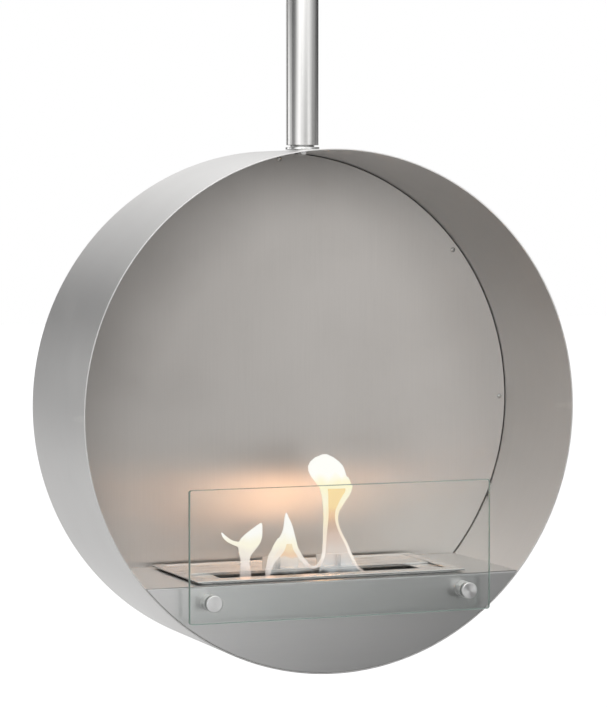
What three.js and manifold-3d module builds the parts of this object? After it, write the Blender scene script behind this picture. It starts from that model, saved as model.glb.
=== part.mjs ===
// A hanging bio-ethanol fireplace: an open stainless drum that swivels on a ceiling tube, with a
// folded hearth sheet, a drop-in burner with a sliding lid, and a low glass screen on stand-offs.
//
// Units are millimetres, +Z is up and the open side of the drum faces -Y. The origin is the centre
// of the ceiling plate's upper face, and the Z axis is the swivel axis, down the middle of the tube.

import * as THREE from 'three';
import { mergeVertices } from 'three/addons/utils/BufferGeometryUtils.js';
import Module from 'manifold-3d';

const wasm = await Module();
wasm.setup();

// ------------------------------------------------------------------------ driving dimensions

// Clearances
const seat = 0.3;                  // between a piece and the piece that carries it
const boltClearance = 0.3;         // all round a screw or stud in its hole

// Suspension
const suspensionDrop = 400;        // ceiling to the crown of the drum
const tubeDiameter = 38;
const tubeWall = 2;
const ceilingPlateDiameter = 110;
const ceilingPlateThickness = 6;
const spigotLength = 46;           // boss under the ceiling plate, inside the tube
const ceilingHoleDiameter = 6.5;
const ceilingHoleCount = 4;
const ceilingHoleInset = 12;       // hole centre to the plate's edge
const countersinkDiameter = 12;
const roseHeight = 32;
const roseWall = 1.5;
const roseNeckHeight = 12;
const roseNeckWall = 4;
const roseCornerRadius = 6;
const roseGap = 1;                 // plate's edge to the rose
const ceilingGap = 0.5;            // rose's upper edge to the ceiling
const tubeScrewDiameter = 5;
const tubeScrewDrop = 21;          // ceiling to the tube's locking screw
const tubeScrewDepth = 10;         // how far the screw runs into the spigot
const tubeScrewHeadDiameter = 8.5;
const tubeScrewHeadHeight = 3;
const grubScrewDiameter = 4;

// Swivel
const endPlugLength = 22;
const swivelNeckDiameter = 28;
const swivelNeckHeight = 1.6;
const swivelFlangeDiameter = 40;
const swivelFlangeHeight = 3;
const swivelFlangeChamfer = 0.6;
const swivelBoltDiameter = 6;
const swivelBoltHeadAcrossFlats = 10;
const swivelBoltHeadHeight = 4;
const swivelBoltHeadChamfer = 0.8;

// Drum
const drumDiameter = 600;
const drumDepth = 205.5;
const drumWall = 1.5;
const tubeSetback = 108;           // front rim to the tube's axis

// Back panel
const panelRecess = 20;            // panel's back face to the rear rim
const panelThickness = 1.5;
const panelShadowGap = 1;          // panel's edge to the drum
const panelScrewInset = 7;         // screw centre to the panel's edge
const panelScrewAngles = [90, 38.5, 0, -60, -120, 180, 141.5];   // degrees from +X, seen from -Y
const panelScrewDiameter = 3;
const panelScrewLength = 8;
const panelScrewHeadDiameter = 6;
const panelScrewHeadHeight = 1.8;
const mountingRingWidth = 26;
const mountingRingWall = 1.5;
const mountingRingLeg = 14;        // leg along the drum, behind the panel

// Hearth: one sheet, folded into a shelf, a fascia in front and a lip at the back
const hearthHeight = 108.5;        // drum's lowest point to the top of the shelf
const hearthWall = 1.5;
const hearthBendRadius = 2.5;      // outside of the folds
const hearthSideGap = 0.5;         // sheet to the drum
const hearthRearGap = 0.5;         // rear lip to the back panel
const hearthLipHeight = 14;
const bracketInset = 20;           // bracket's ends to the shelf's front and back
const bracketShelfLeg = 24;
const bracketDrumLeg = 22;
const bracketWall = 1.5;

// Burner
const burnerWidth = 329;
const burnerFrontMargin = 10;      // front rim to the burner's frame
const burnerRearMargin = 12;       // burner's frame to the back panel
const frameThickness = 2;
const frameSideRim = 13;
const frameFrontRim = 21;
const frameRearRim = 9.5;
const deckThickness = 1.5;
const deckInset = 7;               // frame's edge to the deck's edge, all round
const slotLength = 248;
const slotWidth = 36;
const slotSetback = 17;            // frame's window to the slot
const tankInset = 9;               // deck's edge to the tank, all round
const tankDepth = 44;
const tankWall = 1.5;
const tankCornerRadius = 8;
const tankCutoutGap = 1.5;         // tank to the cut-out in the shelf
const woolGap = 1;                 // fibre block to the tank's walls
const woolHeadspace = 12;          // fibre block to the deck
const woolCornerRadius = 6;

// Lid
const lidThickness = 1.5;
const lidGap = 0.5;                // lid to the window of the frame
const lidSlotGap = 0.4;            // open lid's front edge to the slot
const postSpacing = 76;
const postDiameter = 6;
const postHeight = 14;
const postSetback = 6;             // lid's front edge to a post's axis
const postCrown = 0.8;
const gripWidth = 44.5;
const gripWall = 1.5;
const gripSpacing = 67.5;

// Glass screen
const standoffSpacing = 312.4;
const standoffDrop = 17.5;         // top of the shelf to a stand-off's axis
const standoffDiameter = 19;
const barrelLength = 13;
const capThickness = 3.5;
const capChamfer = 0.7;
const studDiameter = 6;
const nutAcrossFlats = 10;
const nutHeight = 5;
const studOverrun = 2;             // stud's end past its nut
const gasketDiameter = 16;
const gasketThickness = 0.8;
const glassThickness = 5;
const glassHeight = 151;
const glassSideMargin = 27.8;      // stand-off's axis to the glass's side edge
const glassLowerMargin = 23;       // stand-off's axis to the glass's lower edge
const glassCornerRadius = 3;
const glassHoleClearance = 1;      // all round a stud

// Facets on a full turn
const drumFacets = 96;
const tubeFacets = 32;
const screwFacets = 12;
const cornerFacets = 5;

// ---------------------------------------------------------------------------- derived values

const drumRadius = drumDiameter / 2;
const drumBore = drumRadius - drumWall;
const drumCentreZ = -suspensionDrop - drumRadius;

// Depths in the drum, from the swivel axis
const frontRim = -tubeSetback;
const rearRim = frontRim + drumDepth;
const panelBack = rearRim - panelRecess;
const panelFront = panelBack - panelThickness;
const panelRadius = drumBore - panelShadowGap;
const panelScrewCircle = panelRadius - panelScrewInset;

// Heights in the drum, from its centre
const shelfTop = hearthHeight - drumRadius;
const shelfUnderside = shelfTop - hearthWall;
const deckUnderside = shelfTop + seat;
const deckTop = deckUnderside + deckThickness;
const frameUnderside = deckTop + seat;
const lidTop = frameUnderside + lidThickness;
const tankTop = deckUnderside - seat;
const tankFloor = tankTop - tankDepth;

// Depths of the burner's plates, front and back
const frameFront = frontRim + burnerFrontMargin;
const frameBack = panelFront - burnerRearMargin;
const windowFront = frameFront + frameFrontRim;
const windowBack = frameBack - frameRearRim;
const windowWidth = burnerWidth - 2 * frameSideRim;
const slotFront = windowFront + slotSetback;
const slotBack = slotFront + slotWidth;
const lidFront = slotBack + lidSlotGap;
const lidBack = windowBack - lidGap;
const deckWidth = burnerWidth - 2 * deckInset;
const deckFront = frameFront + deckInset;
const deckBack = frameBack - deckInset;
const tankWidth = deckWidth - 2 * tankInset;
const tankFront = deckFront + tankInset;
const tankBack = deckBack - tankInset;

// Stack of a stand-off, outwards from the fascia
const barrelBack = frontRim - seat;
const barrelFront = barrelBack - barrelLength;
const rearGasketBack = barrelFront - seat;
const glassBack = rearGasketBack - gasketThickness - seat;
const glassFront = glassBack - glassThickness;
const frontGasketBack = glassFront - seat;
const capBack = frontGasketBack - gasketThickness - seat;
const standoffZ = shelfTop - standoffDrop;
const nutFront = frontRim + hearthWall + seat;

// Stack of the swivel, upwards from the crown of the drum
const flangeUnderside = -suspensionDrop + seat;
const flangeTop = flangeUnderside + swivelFlangeHeight;
const neckUnderside = flangeTop + seat;
const tubeBottom = neckUnderside + swivelNeckHeight + seat;
const tubeTop = -ceilingPlateThickness - seat;
const tubeRadius = tubeDiameter / 2;
const tubeBore = tubeRadius - tubeWall;
const spigotRadius = tubeBore - seat;

// ------------------------------------------------------------------------------ shape helpers

/** Turns a closed geometry into a solid with its shared corners merged and its faces outwards. */
function solidFrom(geometry) {
  const bare = geometry.clone();
  bare.deleteAttribute('normal');
  bare.deleteAttribute('uv');
  const merged = mergeVertices(bare, 1e-4);
  const corners = merged.index.array;
  const place = merged.attributes.position.array;
  const triangles = [];
  let volume = 0;
  for (let i = 0; i < corners.length; i += 3) {
    const [a, b, c] = [corners[i], corners[i + 1], corners[i + 2]];
    if (a === b || b === c || c === a) continue;
    triangles.push(a, b, c);
    const [p, q, r] = [a, b, c].map((n) => new THREE.Vector3().fromArray(place, 3 * n));
    volume += p.dot(q.cross(r));
  }
  if (volume < 0) triangles.reverse();
  return new wasm.Manifold(new wasm.Mesh({
    numProp: 3,
    vertProperties: Float32Array.from(place),
    triVerts: Uint32Array.from(triangles),
  }));
}

/** Gives a solid's surface back as a geometry. */
function geometryFrom(solid) {
  const mesh = solid.getMesh();
  const geometry = new THREE.BufferGeometry();
  geometry.setAttribute('position', new THREE.BufferAttribute(mesh.vertProperties, 3));
  geometry.setIndex(new THREE.BufferAttribute(mesh.triVerts, 1));
  return geometry;
}

/** Revolves [radius, height] points around the Z axis. */
function revolveZ(points, facets) {
  const profile = points.map(([radius, height]) => new THREE.Vector2(radius, height));
  return new THREE.LatheGeometry(profile, facets).rotateX(Math.PI / 2);
}

/** Revolves [radius, depth] points around the Y axis. */
function revolveY(points, facets) {
  const profile = points.map(([radius, depth]) => new THREE.Vector2(radius, depth));
  return new THREE.LatheGeometry(profile, facets);
}

/** A closed ring section, as the points of a rectangle that ends where it starts. */
function ringSection(inner, outer, low, high) {
  return [[outer, low], [outer, high], [inner, high], [inner, low], [outer, low]];
}

/** A round bar section that starts and ends on the axis. */
function barSection(radius, low, high) {
  return [[0, low], [radius, low], [radius, high], [0, high]];
}

/** A round bar along the Z axis. */
function barZ(radius, low, high, facets = screwFacets) {
  return revolveZ(barSection(radius, low, high), facets);
}

/** A round bar along the Y axis. */
function barY(radius, low, high, facets = screwFacets) {
  return revolveY(barSection(radius, low, high), facets);
}

/** A hexagonal bar along the Z axis. */
function hexBarZ(acrossFlats, low, high) {
  return barZ(acrossFlats / Math.sqrt(3), low, high, 6);
}

/** Extrudes an outline in X and Y upwards from low to high. */
function extrudeZ(shape, low, high) {
  const settings = { depth: high - low, bevelEnabled: false, curveSegments: cornerFacets };
  return new THREE.ExtrudeGeometry(shape, settings).translate(0, 0, low);
}

/** Extrudes an outline in X and Z backwards from front to back. */
function extrudeY(shape, front, back) {
  const settings = { depth: back - front, bevelEnabled: false, curveSegments: cornerFacets };
  return new THREE.ExtrudeGeometry(shape, settings).rotateX(Math.PI / 2).translate(0, back, 0);
}

/** Extrudes an outline in Y and Z sideways, half of the length to each side of X = 0. */
function extrudeX(shape, length) {
  const settings = { depth: length, bevelEnabled: false, curveSegments: cornerFacets };
  const turn = new THREE.Matrix4().makeBasis(
    new THREE.Vector3(0, 1, 0), new THREE.Vector3(0, 0, 1), new THREE.Vector3(1, 0, 0));
  return new THREE.ExtrudeGeometry(shape, settings).applyMatrix4(turn).translate(-length / 2, 0, 0);
}

/** A rectangle from its four sides, with round corners where a radius is given. */
function rectangle(left, right, low, high, radius = 0) {
  const shape = new THREE.Shape();
  if (radius === 0) {
    shape.moveTo(left, low).lineTo(right, low).lineTo(right, high).lineTo(left, high);
    return shape.closePath();
  }
  const quarter = Math.PI / 2;
  shape.absarc(right - radius, low + radius, radius, -quarter, 0);
  shape.absarc(right - radius, high - radius, radius, 0, quarter);
  shape.absarc(left + radius, high - radius, radius, quarter, 2 * quarter);
  shape.absarc(left + radius, low + radius, radius, 2 * quarter, 3 * quarter);
  return shape.closePath();
}

/** A plate of a given width that lies in the hearth, from its depths and heights. */
function plate(width, front, back, low, high, radius = 0) {
  return extrudeZ(rectangle(-width / 2, width / 2, front, back, radius), low, high);
}

/** Cuts tools out of a blank. Blank and tools are geometries. */
function cut(blank, ...tools) {
  return geometryFrom(tools.reduce((solid, tool) => solid.subtract(solidFrom(tool)), solidFrom(blank)));
}

/** Joins two overlapping geometries. */
function join(first, second) {
  return geometryFrom(solidFrom(first).add(solidFrom(second)));
}

/** Keeps what two geometries share. */
function common(first, second) {
  return geometryFrom(solidFrom(first).intersect(solidFrom(second)));
}

/** The two signed sides of a mirrored pair, with the names that go with them. */
const sides = [
  { side: 'left', sign: -1 },
  { side: 'right', sign: 1 },
];

// --------------------------------------------------------------------------------- materials

const finishes = {
  brushedSteel: { color: 0xb9b6b2, roughness: 0.42, metalness: 1 },
  polishedSteel: { color: 0xd6d6d4, roughness: 0.16, metalness: 1 },
  hearthSteel: { color: 0xa9a8a5, roughness: 0.38, metalness: 1 },
  burnerSteel: { color: 0xc3bfba, roughness: 0.34, metalness: 1 },
  blackenedSteel: { color: 0x24231f, roughness: 0.7, metalness: 0.6 },
  zincSteel: { color: 0x9ba0a3, roughness: 0.45, metalness: 1 },
  glass: { color: 0xdfe9e4, roughness: 0.04, metalness: 0 },
  gasket: { color: 0x2b2c2c, roughness: 0.8, metalness: 0 },
  ceramicWool: { color: 0xcfc8bb, roughness: 0.95, metalness: 0 },
};

/** Makes a named piece and hangs it in a group. */
function addPiece(group, name, geometry, finish) {
  const clean = geometryFrom(solidFrom(geometry));
  const piece = new THREE.Mesh(clean, new THREE.MeshStandardMaterial(finishes[finish]));
  piece.name = name;
  group.add(piece);
  return piece;
}

// -------------------------------------------------------------------------------- suspension

/** Plate that is screwed to the ceiling, with the spigot that the tube is pushed over. */
function ceilingPlate() {
  const radius = ceilingPlateDiameter / 2;
  const underside = -ceilingPlateThickness;
  const blank = revolveZ([
    [0, underside - spigotLength],
    [spigotRadius - 1, underside - spigotLength],
    [spigotRadius, underside - spigotLength + 1],
    [spigotRadius, underside],
    [radius, underside],
    [radius, 0],
    [0, 0],
  ], tubeFacets);
  const holeRadius = ceilingHoleDiameter / 2;
  const sinkRadius = countersinkDiameter / 2;
  const sinkDepth = sinkRadius - holeRadius;
  const holes = [];
  for (let i = 0; i < ceilingHoleCount; i += 1) {
    const angle = 2 * Math.PI * (i + 0.5) / ceilingHoleCount;
    const reach = radius - ceilingHoleInset;
    const hole = revolveZ([
      [0, underside - 1],
      [sinkRadius + 1, underside - 1],
      [holeRadius, underside + sinkDepth],
      [holeRadius, 1],
      [0, 1],
    ], screwFacets);
    holes.push(hole.translate(reach * Math.cos(angle), reach * Math.sin(angle), 0));
  }
  const lockingScrewHole = barY(tubeScrewDiameter / 2 + boltClearance,
    spigotRadius - tubeScrewDepth - seat, spigotRadius + 1).translate(0, 0, -tubeScrewDrop);
  return cut(blank, ...holes, lockingScrewHole);
}

/** Ceiling rose: a spun cup with a thick neck around the tube. */
function ceilingRose() {
  const outer = ceilingPlateDiameter / 2 + roseGap + roseWall;
  const neckInner = tubeRadius + seat;
  const neckOuter = neckInner + roseNeckWall;
  const top = -ceilingGap;
  const floor = top - roseHeight;
  const innerCorner = roseCornerRadius - roseWall;
  const profile = [[neckInner, floor - roseNeckHeight], [neckOuter, floor - roseNeckHeight], [neckOuter, floor]];
  for (let i = 0; i <= cornerFacets; i += 1) {
    const angle = -Math.PI / 2 + (Math.PI / 2) * (i / cornerFacets);
    profile.push([
      outer - roseCornerRadius + roseCornerRadius * Math.cos(angle),
      floor + roseCornerRadius + roseCornerRadius * Math.sin(angle),
    ]);
  }
  profile.push([outer, top], [outer - roseWall, top]);
  for (let i = cornerFacets; i >= 0; i -= 1) {
    const angle = -Math.PI / 2 + (Math.PI / 2) * (i / cornerFacets);
    profile.push([
      outer - roseCornerRadius + innerCorner * Math.cos(angle),
      floor + roseCornerRadius + innerCorner * Math.sin(angle),
    ]);
  }
  profile.push([neckInner, floor + roseWall], [neckInner, floor - roseNeckHeight]);
  const grubHole = barY(grubScrewDiameter / 2 + boltClearance, neckInner - 1, neckOuter + 1);
  return cut(revolveZ(profile, tubeFacets), grubHole.translate(0, 0, floor - roseNeckHeight / 2));
}

/** Headless screw in the rose's neck, pointing at the tube. */
function roseGrubScrew() {
  const inner = tubeRadius + seat;
  const height = -ceilingGap - roseHeight - roseNeckHeight / 2;
  const shank = barY(grubScrewDiameter / 2, inner, inner + roseNeckWall);
  const socket = barY(grubScrewDiameter / 4, inner + roseNeckWall / 2, inner + roseNeckWall + 1, 6);
  return cut(shank, socket).translate(0, 0, height);
}

/** Screw through the tube into the spigot, hidden in the rose. */
function tubeLockingScrew() {
  const radius = tubeScrewDiameter / 2;
  const headRadius = tubeScrewHeadDiameter / 2;
  const headStart = tubeRadius + seat;
  const headEnd = headStart + tubeScrewHeadHeight;
  return revolveY([
    [0, spigotRadius - tubeScrewDepth],
    [radius, spigotRadius - tubeScrewDepth],
    [radius, headStart],
    [headRadius, headStart],
    [headRadius, headEnd - 1],
    [headRadius - 1, headEnd],
    [0, headEnd],
  ], screwFacets).translate(0, 0, -tubeScrewDrop);
}

function suspensionTube() {
  const tube = revolveZ(ringSection(tubeBore, tubeRadius, tubeBottom, tubeTop), tubeFacets);
  const screwHole = barY(tubeScrewDiameter / 2 + boltClearance, tubeBore - 1, tubeRadius + 1);
  return cut(tube, screwHole.translate(0, 0, -tubeScrewDrop));
}

/** Threaded plug that closes the tube's lower end and takes the swivel bolt. */
function tubeEndPlug() {
  const bore = swivelBoltDiameter / 2 + boltClearance;
  return revolveZ(ringSection(bore, tubeBore - seat, tubeBottom, tubeBottom + endPlugLength), tubeFacets);
}

function swivelNeck() {
  const bore = swivelBoltDiameter / 2 + boltClearance;
  const top = neckUnderside + swivelNeckHeight;
  return revolveZ(ringSection(bore, swivelNeckDiameter / 2, neckUnderside, top), tubeFacets);
}

/** Polished washer that lies on the crown of the drum. */
function swivelFlange() {
  const bore = swivelBoltDiameter / 2 + boltClearance;
  const radius = swivelFlangeDiameter / 2;
  const edge = swivelFlangeChamfer;
  return revolveZ([
    [bore, flangeUnderside],
    [radius - edge, flangeUnderside],
    [radius, flangeUnderside + edge],
    [radius, flangeTop - edge],
    [radius - edge, flangeTop],
    [bore, flangeTop],
    [bore, flangeUnderside],
  ], tubeFacets);
}

/** Bolt from inside the drum, through its crown and both washers, into the plug. */
function swivelBolt() {
  const headTop = -suspensionDrop - drumWall - seat;
  const headBottom = headTop - swivelBoltHeadHeight;
  const cornerRadius = swivelBoltHeadAcrossFlats / Math.sqrt(3);
  const flatRadius = swivelBoltHeadAcrossFlats / 2;
  const chamferCone = revolveZ([
    [0, headBottom],
    [flatRadius - swivelBoltHeadChamfer, headBottom],
    [cornerRadius + swivelBoltHeadChamfer, headBottom + 2 * swivelBoltHeadChamfer],
    [cornerRadius + swivelBoltHeadChamfer, headTop],
    [0, headTop],
  ], tubeFacets);
  const head = common(hexBarZ(swivelBoltHeadAcrossFlats, headBottom, headTop), chamferCone);
  const shank = barZ(swivelBoltDiameter / 2, headTop - 1, tubeBottom + endPlugLength - 1, screwFacets);
  return join(head, shank);
}

// -------------------------------------------------------------------------------------- drum

/** Rolled band of sheet steel, open in front and behind, with the bolt's hole in its crown. */
function drumShell() {
  const band = revolveY(ringSection(drumBore, drumRadius, frontRim, rearRim), drumFacets);
  const boltHole = barZ(swivelBoltDiameter / 2 + boltClearance, drumBore - 4, drumRadius + 4);
  return cut(band, boltHole);
}

/** Puts a copy of a shape along Y at each of the back panel's screws. */
function atPanelScrews(makeShape) {
  return panelScrewAngles.map((degrees) => {
    const angle = THREE.MathUtils.degToRad(degrees);
    return makeShape().translate(panelScrewCircle * Math.cos(angle), 0, panelScrewCircle * Math.sin(angle));
  });
}

/** Clearance holes for the back panel's screws. */
function panelScrewHoles() {
  const radius = panelScrewDiameter / 2 + boltClearance;
  return atPanelScrews(() => barY(radius, panelFront - 1, panelFront + panelScrewLength + 2));
}

function backPanel() {
  return cut(revolveY(barSection(panelRadius, panelFront, panelBack), drumFacets), ...panelScrewHoles());
}

/** Angle ring inside the drum, which the back panel is screwed to. */
function mountingRing() {
  const outer = drumBore - seat;
  const front = panelBack + seat;
  const back = front + mountingRingWall;
  const ring = revolveY([
    [outer - mountingRingWidth, front],
    [outer - mountingRingWidth, back],
    [outer - mountingRingWall, back],
    [outer - mountingRingWall, back + mountingRingLeg],
    [outer, back + mountingRingLeg],
    [outer, front],
    [outer - mountingRingWidth, front],
  ], drumFacets);
  return cut(ring, ...panelScrewHoles());
}

/** Pan-head screws, one for each hole in the back panel. */
function panelScrews() {
  const radius = panelScrewDiameter / 2;
  const headRadius = panelScrewHeadDiameter / 2;
  const headBack = panelFront - seat;
  const headFront = headBack - panelScrewHeadHeight;
  return atPanelScrews(() => revolveY([
    [0, headFront],
    [headRadius * 0.55, headFront],
    [headRadius * 0.88, headFront + panelScrewHeadHeight * 0.35],
    [headRadius, headBack],
    [radius, headBack],
    [radius, headBack + panelScrewLength],
    [0, headBack + panelScrewLength],
  ], screwFacets));
}

// ------------------------------------------------------------------------------------ hearth

/** Side view of the folded hearth sheet: fascia up, shelf back, lip down. */
function hearthProfile() {
  const outer = hearthBendRadius;
  const inner = hearthBendRadius - hearthWall;
  const back = panelFront - hearthRearGap;
  const low = -drumRadius;
  const lipLow = shelfUnderside - hearthLipHeight;
  const frontBend = frontRim + outer;
  const backBend = back - outer;
  const bendZ = shelfTop - outer;
  const shape = new THREE.Shape();
  shape.moveTo(frontRim, low);
  shape.lineTo(frontRim, bendZ);
  shape.absarc(frontBend, bendZ, outer, Math.PI, Math.PI / 2, true);
  shape.lineTo(backBend, shelfTop);
  shape.absarc(backBend, bendZ, outer, Math.PI / 2, 0, true);
  shape.lineTo(back, lipLow);
  shape.lineTo(back - hearthWall, lipLow);
  shape.lineTo(back - hearthWall, bendZ);
  shape.absarc(backBend, bendZ, inner, 0, Math.PI / 2);
  shape.lineTo(frontBend, shelfUnderside);
  shape.absarc(frontBend, bendZ, inner, Math.PI / 2, Math.PI);
  shape.lineTo(frontRim + hearthWall, low);
  return shape.closePath();
}

/** Hearth sheet, trimmed to the curve of the drum, with the burner's cut-out and the stud holes. */
function hearthSheet() {
  const sheet = extrudeX(hearthProfile(), drumDiameter);
  const drumCurve = barY(drumBore - hearthSideGap, frontRim - 1, panelFront, drumFacets);
  const gap = tankCutoutGap;
  const cutout = plate(tankWidth + 2 * gap, tankFront - gap, tankBack + gap,
    shelfUnderside - 1, shelfTop + 1, tankCornerRadius + gap);
  const studHoles = sides.map(({ sign }) => barY(studDiameter / 2 + boltClearance,
    frontRim - 1, frontRim + hearthWall + 1).translate(sign * standoffSpacing / 2, 0, standoffZ));
  return cut(common(sheet, drumCurve), cutout, ...studHoles);
}

/** Angle under one end of the shelf: a flat leg, and a leg that follows the drum. */
function hearthBracket(sign) {
  const outer = drumBore - seat;
  const inner = outer - bracketWall;
  const top = shelfUnderside - seat;
  const underside = top - bracketWall;
  const outerStart = Math.asin(top / outer);
  const innerStart = Math.asin(underside / inner);
  const end = outerStart - bracketDrumLeg / outer;
  const tip = outer * Math.cos(outerStart) - bracketShelfLeg;
  const shape = new THREE.Shape();
  shape.moveTo(tip, underside);
  shape.lineTo(inner * Math.cos(innerStart), underside);
  shape.absarc(0, 0, inner, innerStart, end, true);
  shape.absarc(0, 0, outer, end, outerStart, false);
  shape.lineTo(tip, top);
  const angle = extrudeY(shape.closePath(), frontRim + bracketInset, panelFront - bracketInset);
  return sign < 0 ? angle.scale(-1, 1, 1) : angle;
}

// ------------------------------------------------------------------------------ glass screen

/** Puts a shape along Y at a stand-off's axis. */
function atStandoff(geometry, sign) {
  return geometry.translate(sign * standoffSpacing / 2, 0, standoffZ);
}

function glassPane() {
  const halfWidth = standoffSpacing / 2 + glassSideMargin;
  const low = standoffZ - glassLowerMargin;
  const outline = rectangle(-halfWidth, halfWidth, low, low + glassHeight, glassCornerRadius);
  const holes = sides.map(({ sign }) => atStandoff(
    barY(studDiameter / 2 + glassHoleClearance, glassFront - 1, glassBack + 1), sign));
  return cut(extrudeY(outline, glassFront, glassBack), ...holes);
}

function standoffBarrel(sign) {
  const bore = studDiameter / 2 + boltClearance;
  const section = ringSection(bore, standoffDiameter / 2, barrelFront, barrelBack);
  return atStandoff(revolveY(section, tubeFacets), sign);
}

function standoffGasket(sign, back) {
  const bore = studDiameter / 2 + boltClearance;
  const section = ringSection(bore, gasketDiameter / 2, back - gasketThickness, back);
  return atStandoff(revolveY(section, tubeFacets), sign);
}

/** Round cap with its stud, which runs through the glass, the barrel and the fascia. */
function standoffCap(sign) {
  const radius = standoffDiameter / 2;
  const face = capBack - capThickness;
  return atStandoff(revolveY([
    [0, face],
    [radius - capChamfer, face],
    [radius, face + capChamfer],
    [radius, capBack],
    [studDiameter / 2, capBack],
    [studDiameter / 2, nutFront + nutHeight + studOverrun],
    [0, nutFront + nutHeight + studOverrun],
  ], tubeFacets), sign);
}

function standoffNut(sign) {
  const hex = barY(nutAcrossFlats / Math.sqrt(3), nutFront, nutFront + nutHeight, 6);
  const bore = barY(studDiameter / 2 + boltClearance, nutFront - 1, nutFront + nutHeight + 1);
  return atStandoff(cut(hex, bore), sign);
}

// ------------------------------------------------------------------------------------ burner

/** Frame plate on top of the burner, with the window that the lid slides in. */
function burnerFrame() {
  const high = frameUnderside + frameThickness;
  const blank = plate(burnerWidth, frameFront, frameBack, frameUnderside, high);
  return cut(blank, plate(windowWidth, windowFront, windowBack, frameUnderside - 1, high + 1));
}

/** Deck plate with the fire slot. Its edge rests on the shelf, around the cut-out. */
function burnerDeck() {
  const blank = plate(deckWidth, deckFront, deckBack, deckUnderside, deckTop);
  return cut(blank, plate(slotLength, slotFront, slotBack, deckUnderside - 1, deckTop + 1));
}

/** Fuel tank, open at the top, which hangs under the deck in the shelf's cut-out. */
function burnerTank() {
  const wall = tankWall;
  const blank = plate(tankWidth, tankFront, tankBack, tankFloor, tankTop, tankCornerRadius);
  const hollow = plate(tankWidth - 2 * wall, tankFront + wall, tankBack - wall,
    tankFloor + wall, tankTop + 1, tankCornerRadius - wall);
  return cut(blank, hollow);
}

/** Ceramic fibre block that soaks up the fuel. */
function fibreBlock() {
  const gap = tankWall + woolGap;
  return plate(tankWidth - 2 * gap, tankFront + gap, tankBack - gap,
    tankFloor + tankWall + seat, deckUnderside - woolHeadspace, woolCornerRadius);
}

/** Sliding lid, shown pushed back, with the slot open. */
function burnerLid() {
  return plate(windowWidth - 2 * lidGap, lidFront, lidBack, frameUnderside, lidTop);
}

/** Polished round post for the lid's tool. */
function lidPost(sign) {
  const radius = postDiameter / 2;
  const low = lidTop + seat;
  const high = low + postHeight;
  return revolveZ([
    [0, low],
    [radius, low],
    [radius, high - postCrown],
    [radius - postCrown, high],
    [0, high],
  ], screwFacets).translate(sign * postSpacing / 2, lidFront + postSetback, 0);
}

/** Upright tab behind a post. */
function lidGrip(sign) {
  const centre = sign * gripSpacing / 2;
  const front = lidFront + postSetback + postDiameter / 2 + seat;
  const low = lidTop + seat;
  const outline = rectangle(centre - gripWidth / 2, centre + gripWidth / 2, low, low + postHeight);
  return extrudeY(outline, front, front + gripWall);
}

// ---------------------------------------------------------------------------------- assembly

const fireplace = new THREE.Group();

const suspension = new THREE.Group();
addPiece(suspension, 'ceiling_plate', ceilingPlate(), 'zincSteel');
addPiece(suspension, 'ceiling_rose', ceilingRose(), 'brushedSteel');
addPiece(suspension, 'rose_grub_screw', roseGrubScrew(), 'zincSteel');
addPiece(suspension, 'tube_locking_screw', tubeLockingScrew(), 'zincSteel');
addPiece(suspension, 'suspension_tube', suspensionTube(), 'brushedSteel');
addPiece(suspension, 'tube_end_plug', tubeEndPlug(), 'zincSteel');
addPiece(suspension, 'swivel_neck', swivelNeck(), 'polishedSteel');
addPiece(suspension, 'swivel_flange', swivelFlange(), 'polishedSteel');
addPiece(suspension, 'swivel_bolt', swivelBolt(), 'polishedSteel');
fireplace.add(suspension);

const drum = new THREE.Group();
drum.position.set(0, 0, drumCentreZ);
addPiece(drum, 'drum_shell', drumShell(), 'brushedSteel');
addPiece(drum, 'back_panel', backPanel(), 'brushedSteel');
addPiece(drum, 'back_mounting_ring', mountingRing(), 'blackenedSteel');
panelScrews().forEach((screw, i) => addPiece(drum, `back_panel_screw_${i + 1}`, screw, 'zincSteel'));
addPiece(drum, 'hearth_sheet', hearthSheet(), 'hearthSteel');
addPiece(drum, 'glass_screen', glassPane(), 'glass');
for (const { side, sign } of sides) {
  addPiece(drum, `hearth_bracket_${side}`, hearthBracket(sign), 'hearthSteel');
  addPiece(drum, `standoff_barrel_${side}`, standoffBarrel(sign), 'polishedSteel');
  addPiece(drum, `standoff_rear_gasket_${side}`, standoffGasket(sign, rearGasketBack), 'gasket');
  addPiece(drum, `standoff_front_gasket_${side}`, standoffGasket(sign, frontGasketBack), 'gasket');
  addPiece(drum, `standoff_cap_${side}`, standoffCap(sign), 'polishedSteel');
  addPiece(drum, `standoff_nut_${side}`, standoffNut(sign), 'zincSteel');
}
fireplace.add(drum);

const burner = new THREE.Group();
addPiece(burner, 'burner_frame', burnerFrame(), 'burnerSteel');
addPiece(burner, 'burner_deck', burnerDeck(), 'burnerSteel');
addPiece(burner, 'burner_tank', burnerTank(), 'zincSteel');
addPiece(burner, 'fibre_block', fibreBlock(), 'ceramicWool');
drum.add(burner);

const lid = new THREE.Group();
addPiece(lid, 'burner_lid', burnerLid(), 'burnerSteel');
for (const { side, sign } of sides) {
  addPiece(lid, `lid_post_${side}`, lidPost(sign), 'polishedSteel');
  addPiece(lid, `lid_grip_${side}`, lidGrip(sign), 'burnerSteel');
}
burner.add(lid);

export default fireplace;
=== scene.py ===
"""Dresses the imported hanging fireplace: an open round drum on a ceiling tube, with its fire lit.

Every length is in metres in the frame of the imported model: the origin is the centre of the ceiling
plate's upper face, Z is up, and the open side of the drum faces -Y.
"""

import logging
import math
from collections.abc import Iterator, Sequence
from contextlib import contextmanager
from dataclasses import dataclass
from enum import Enum

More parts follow.
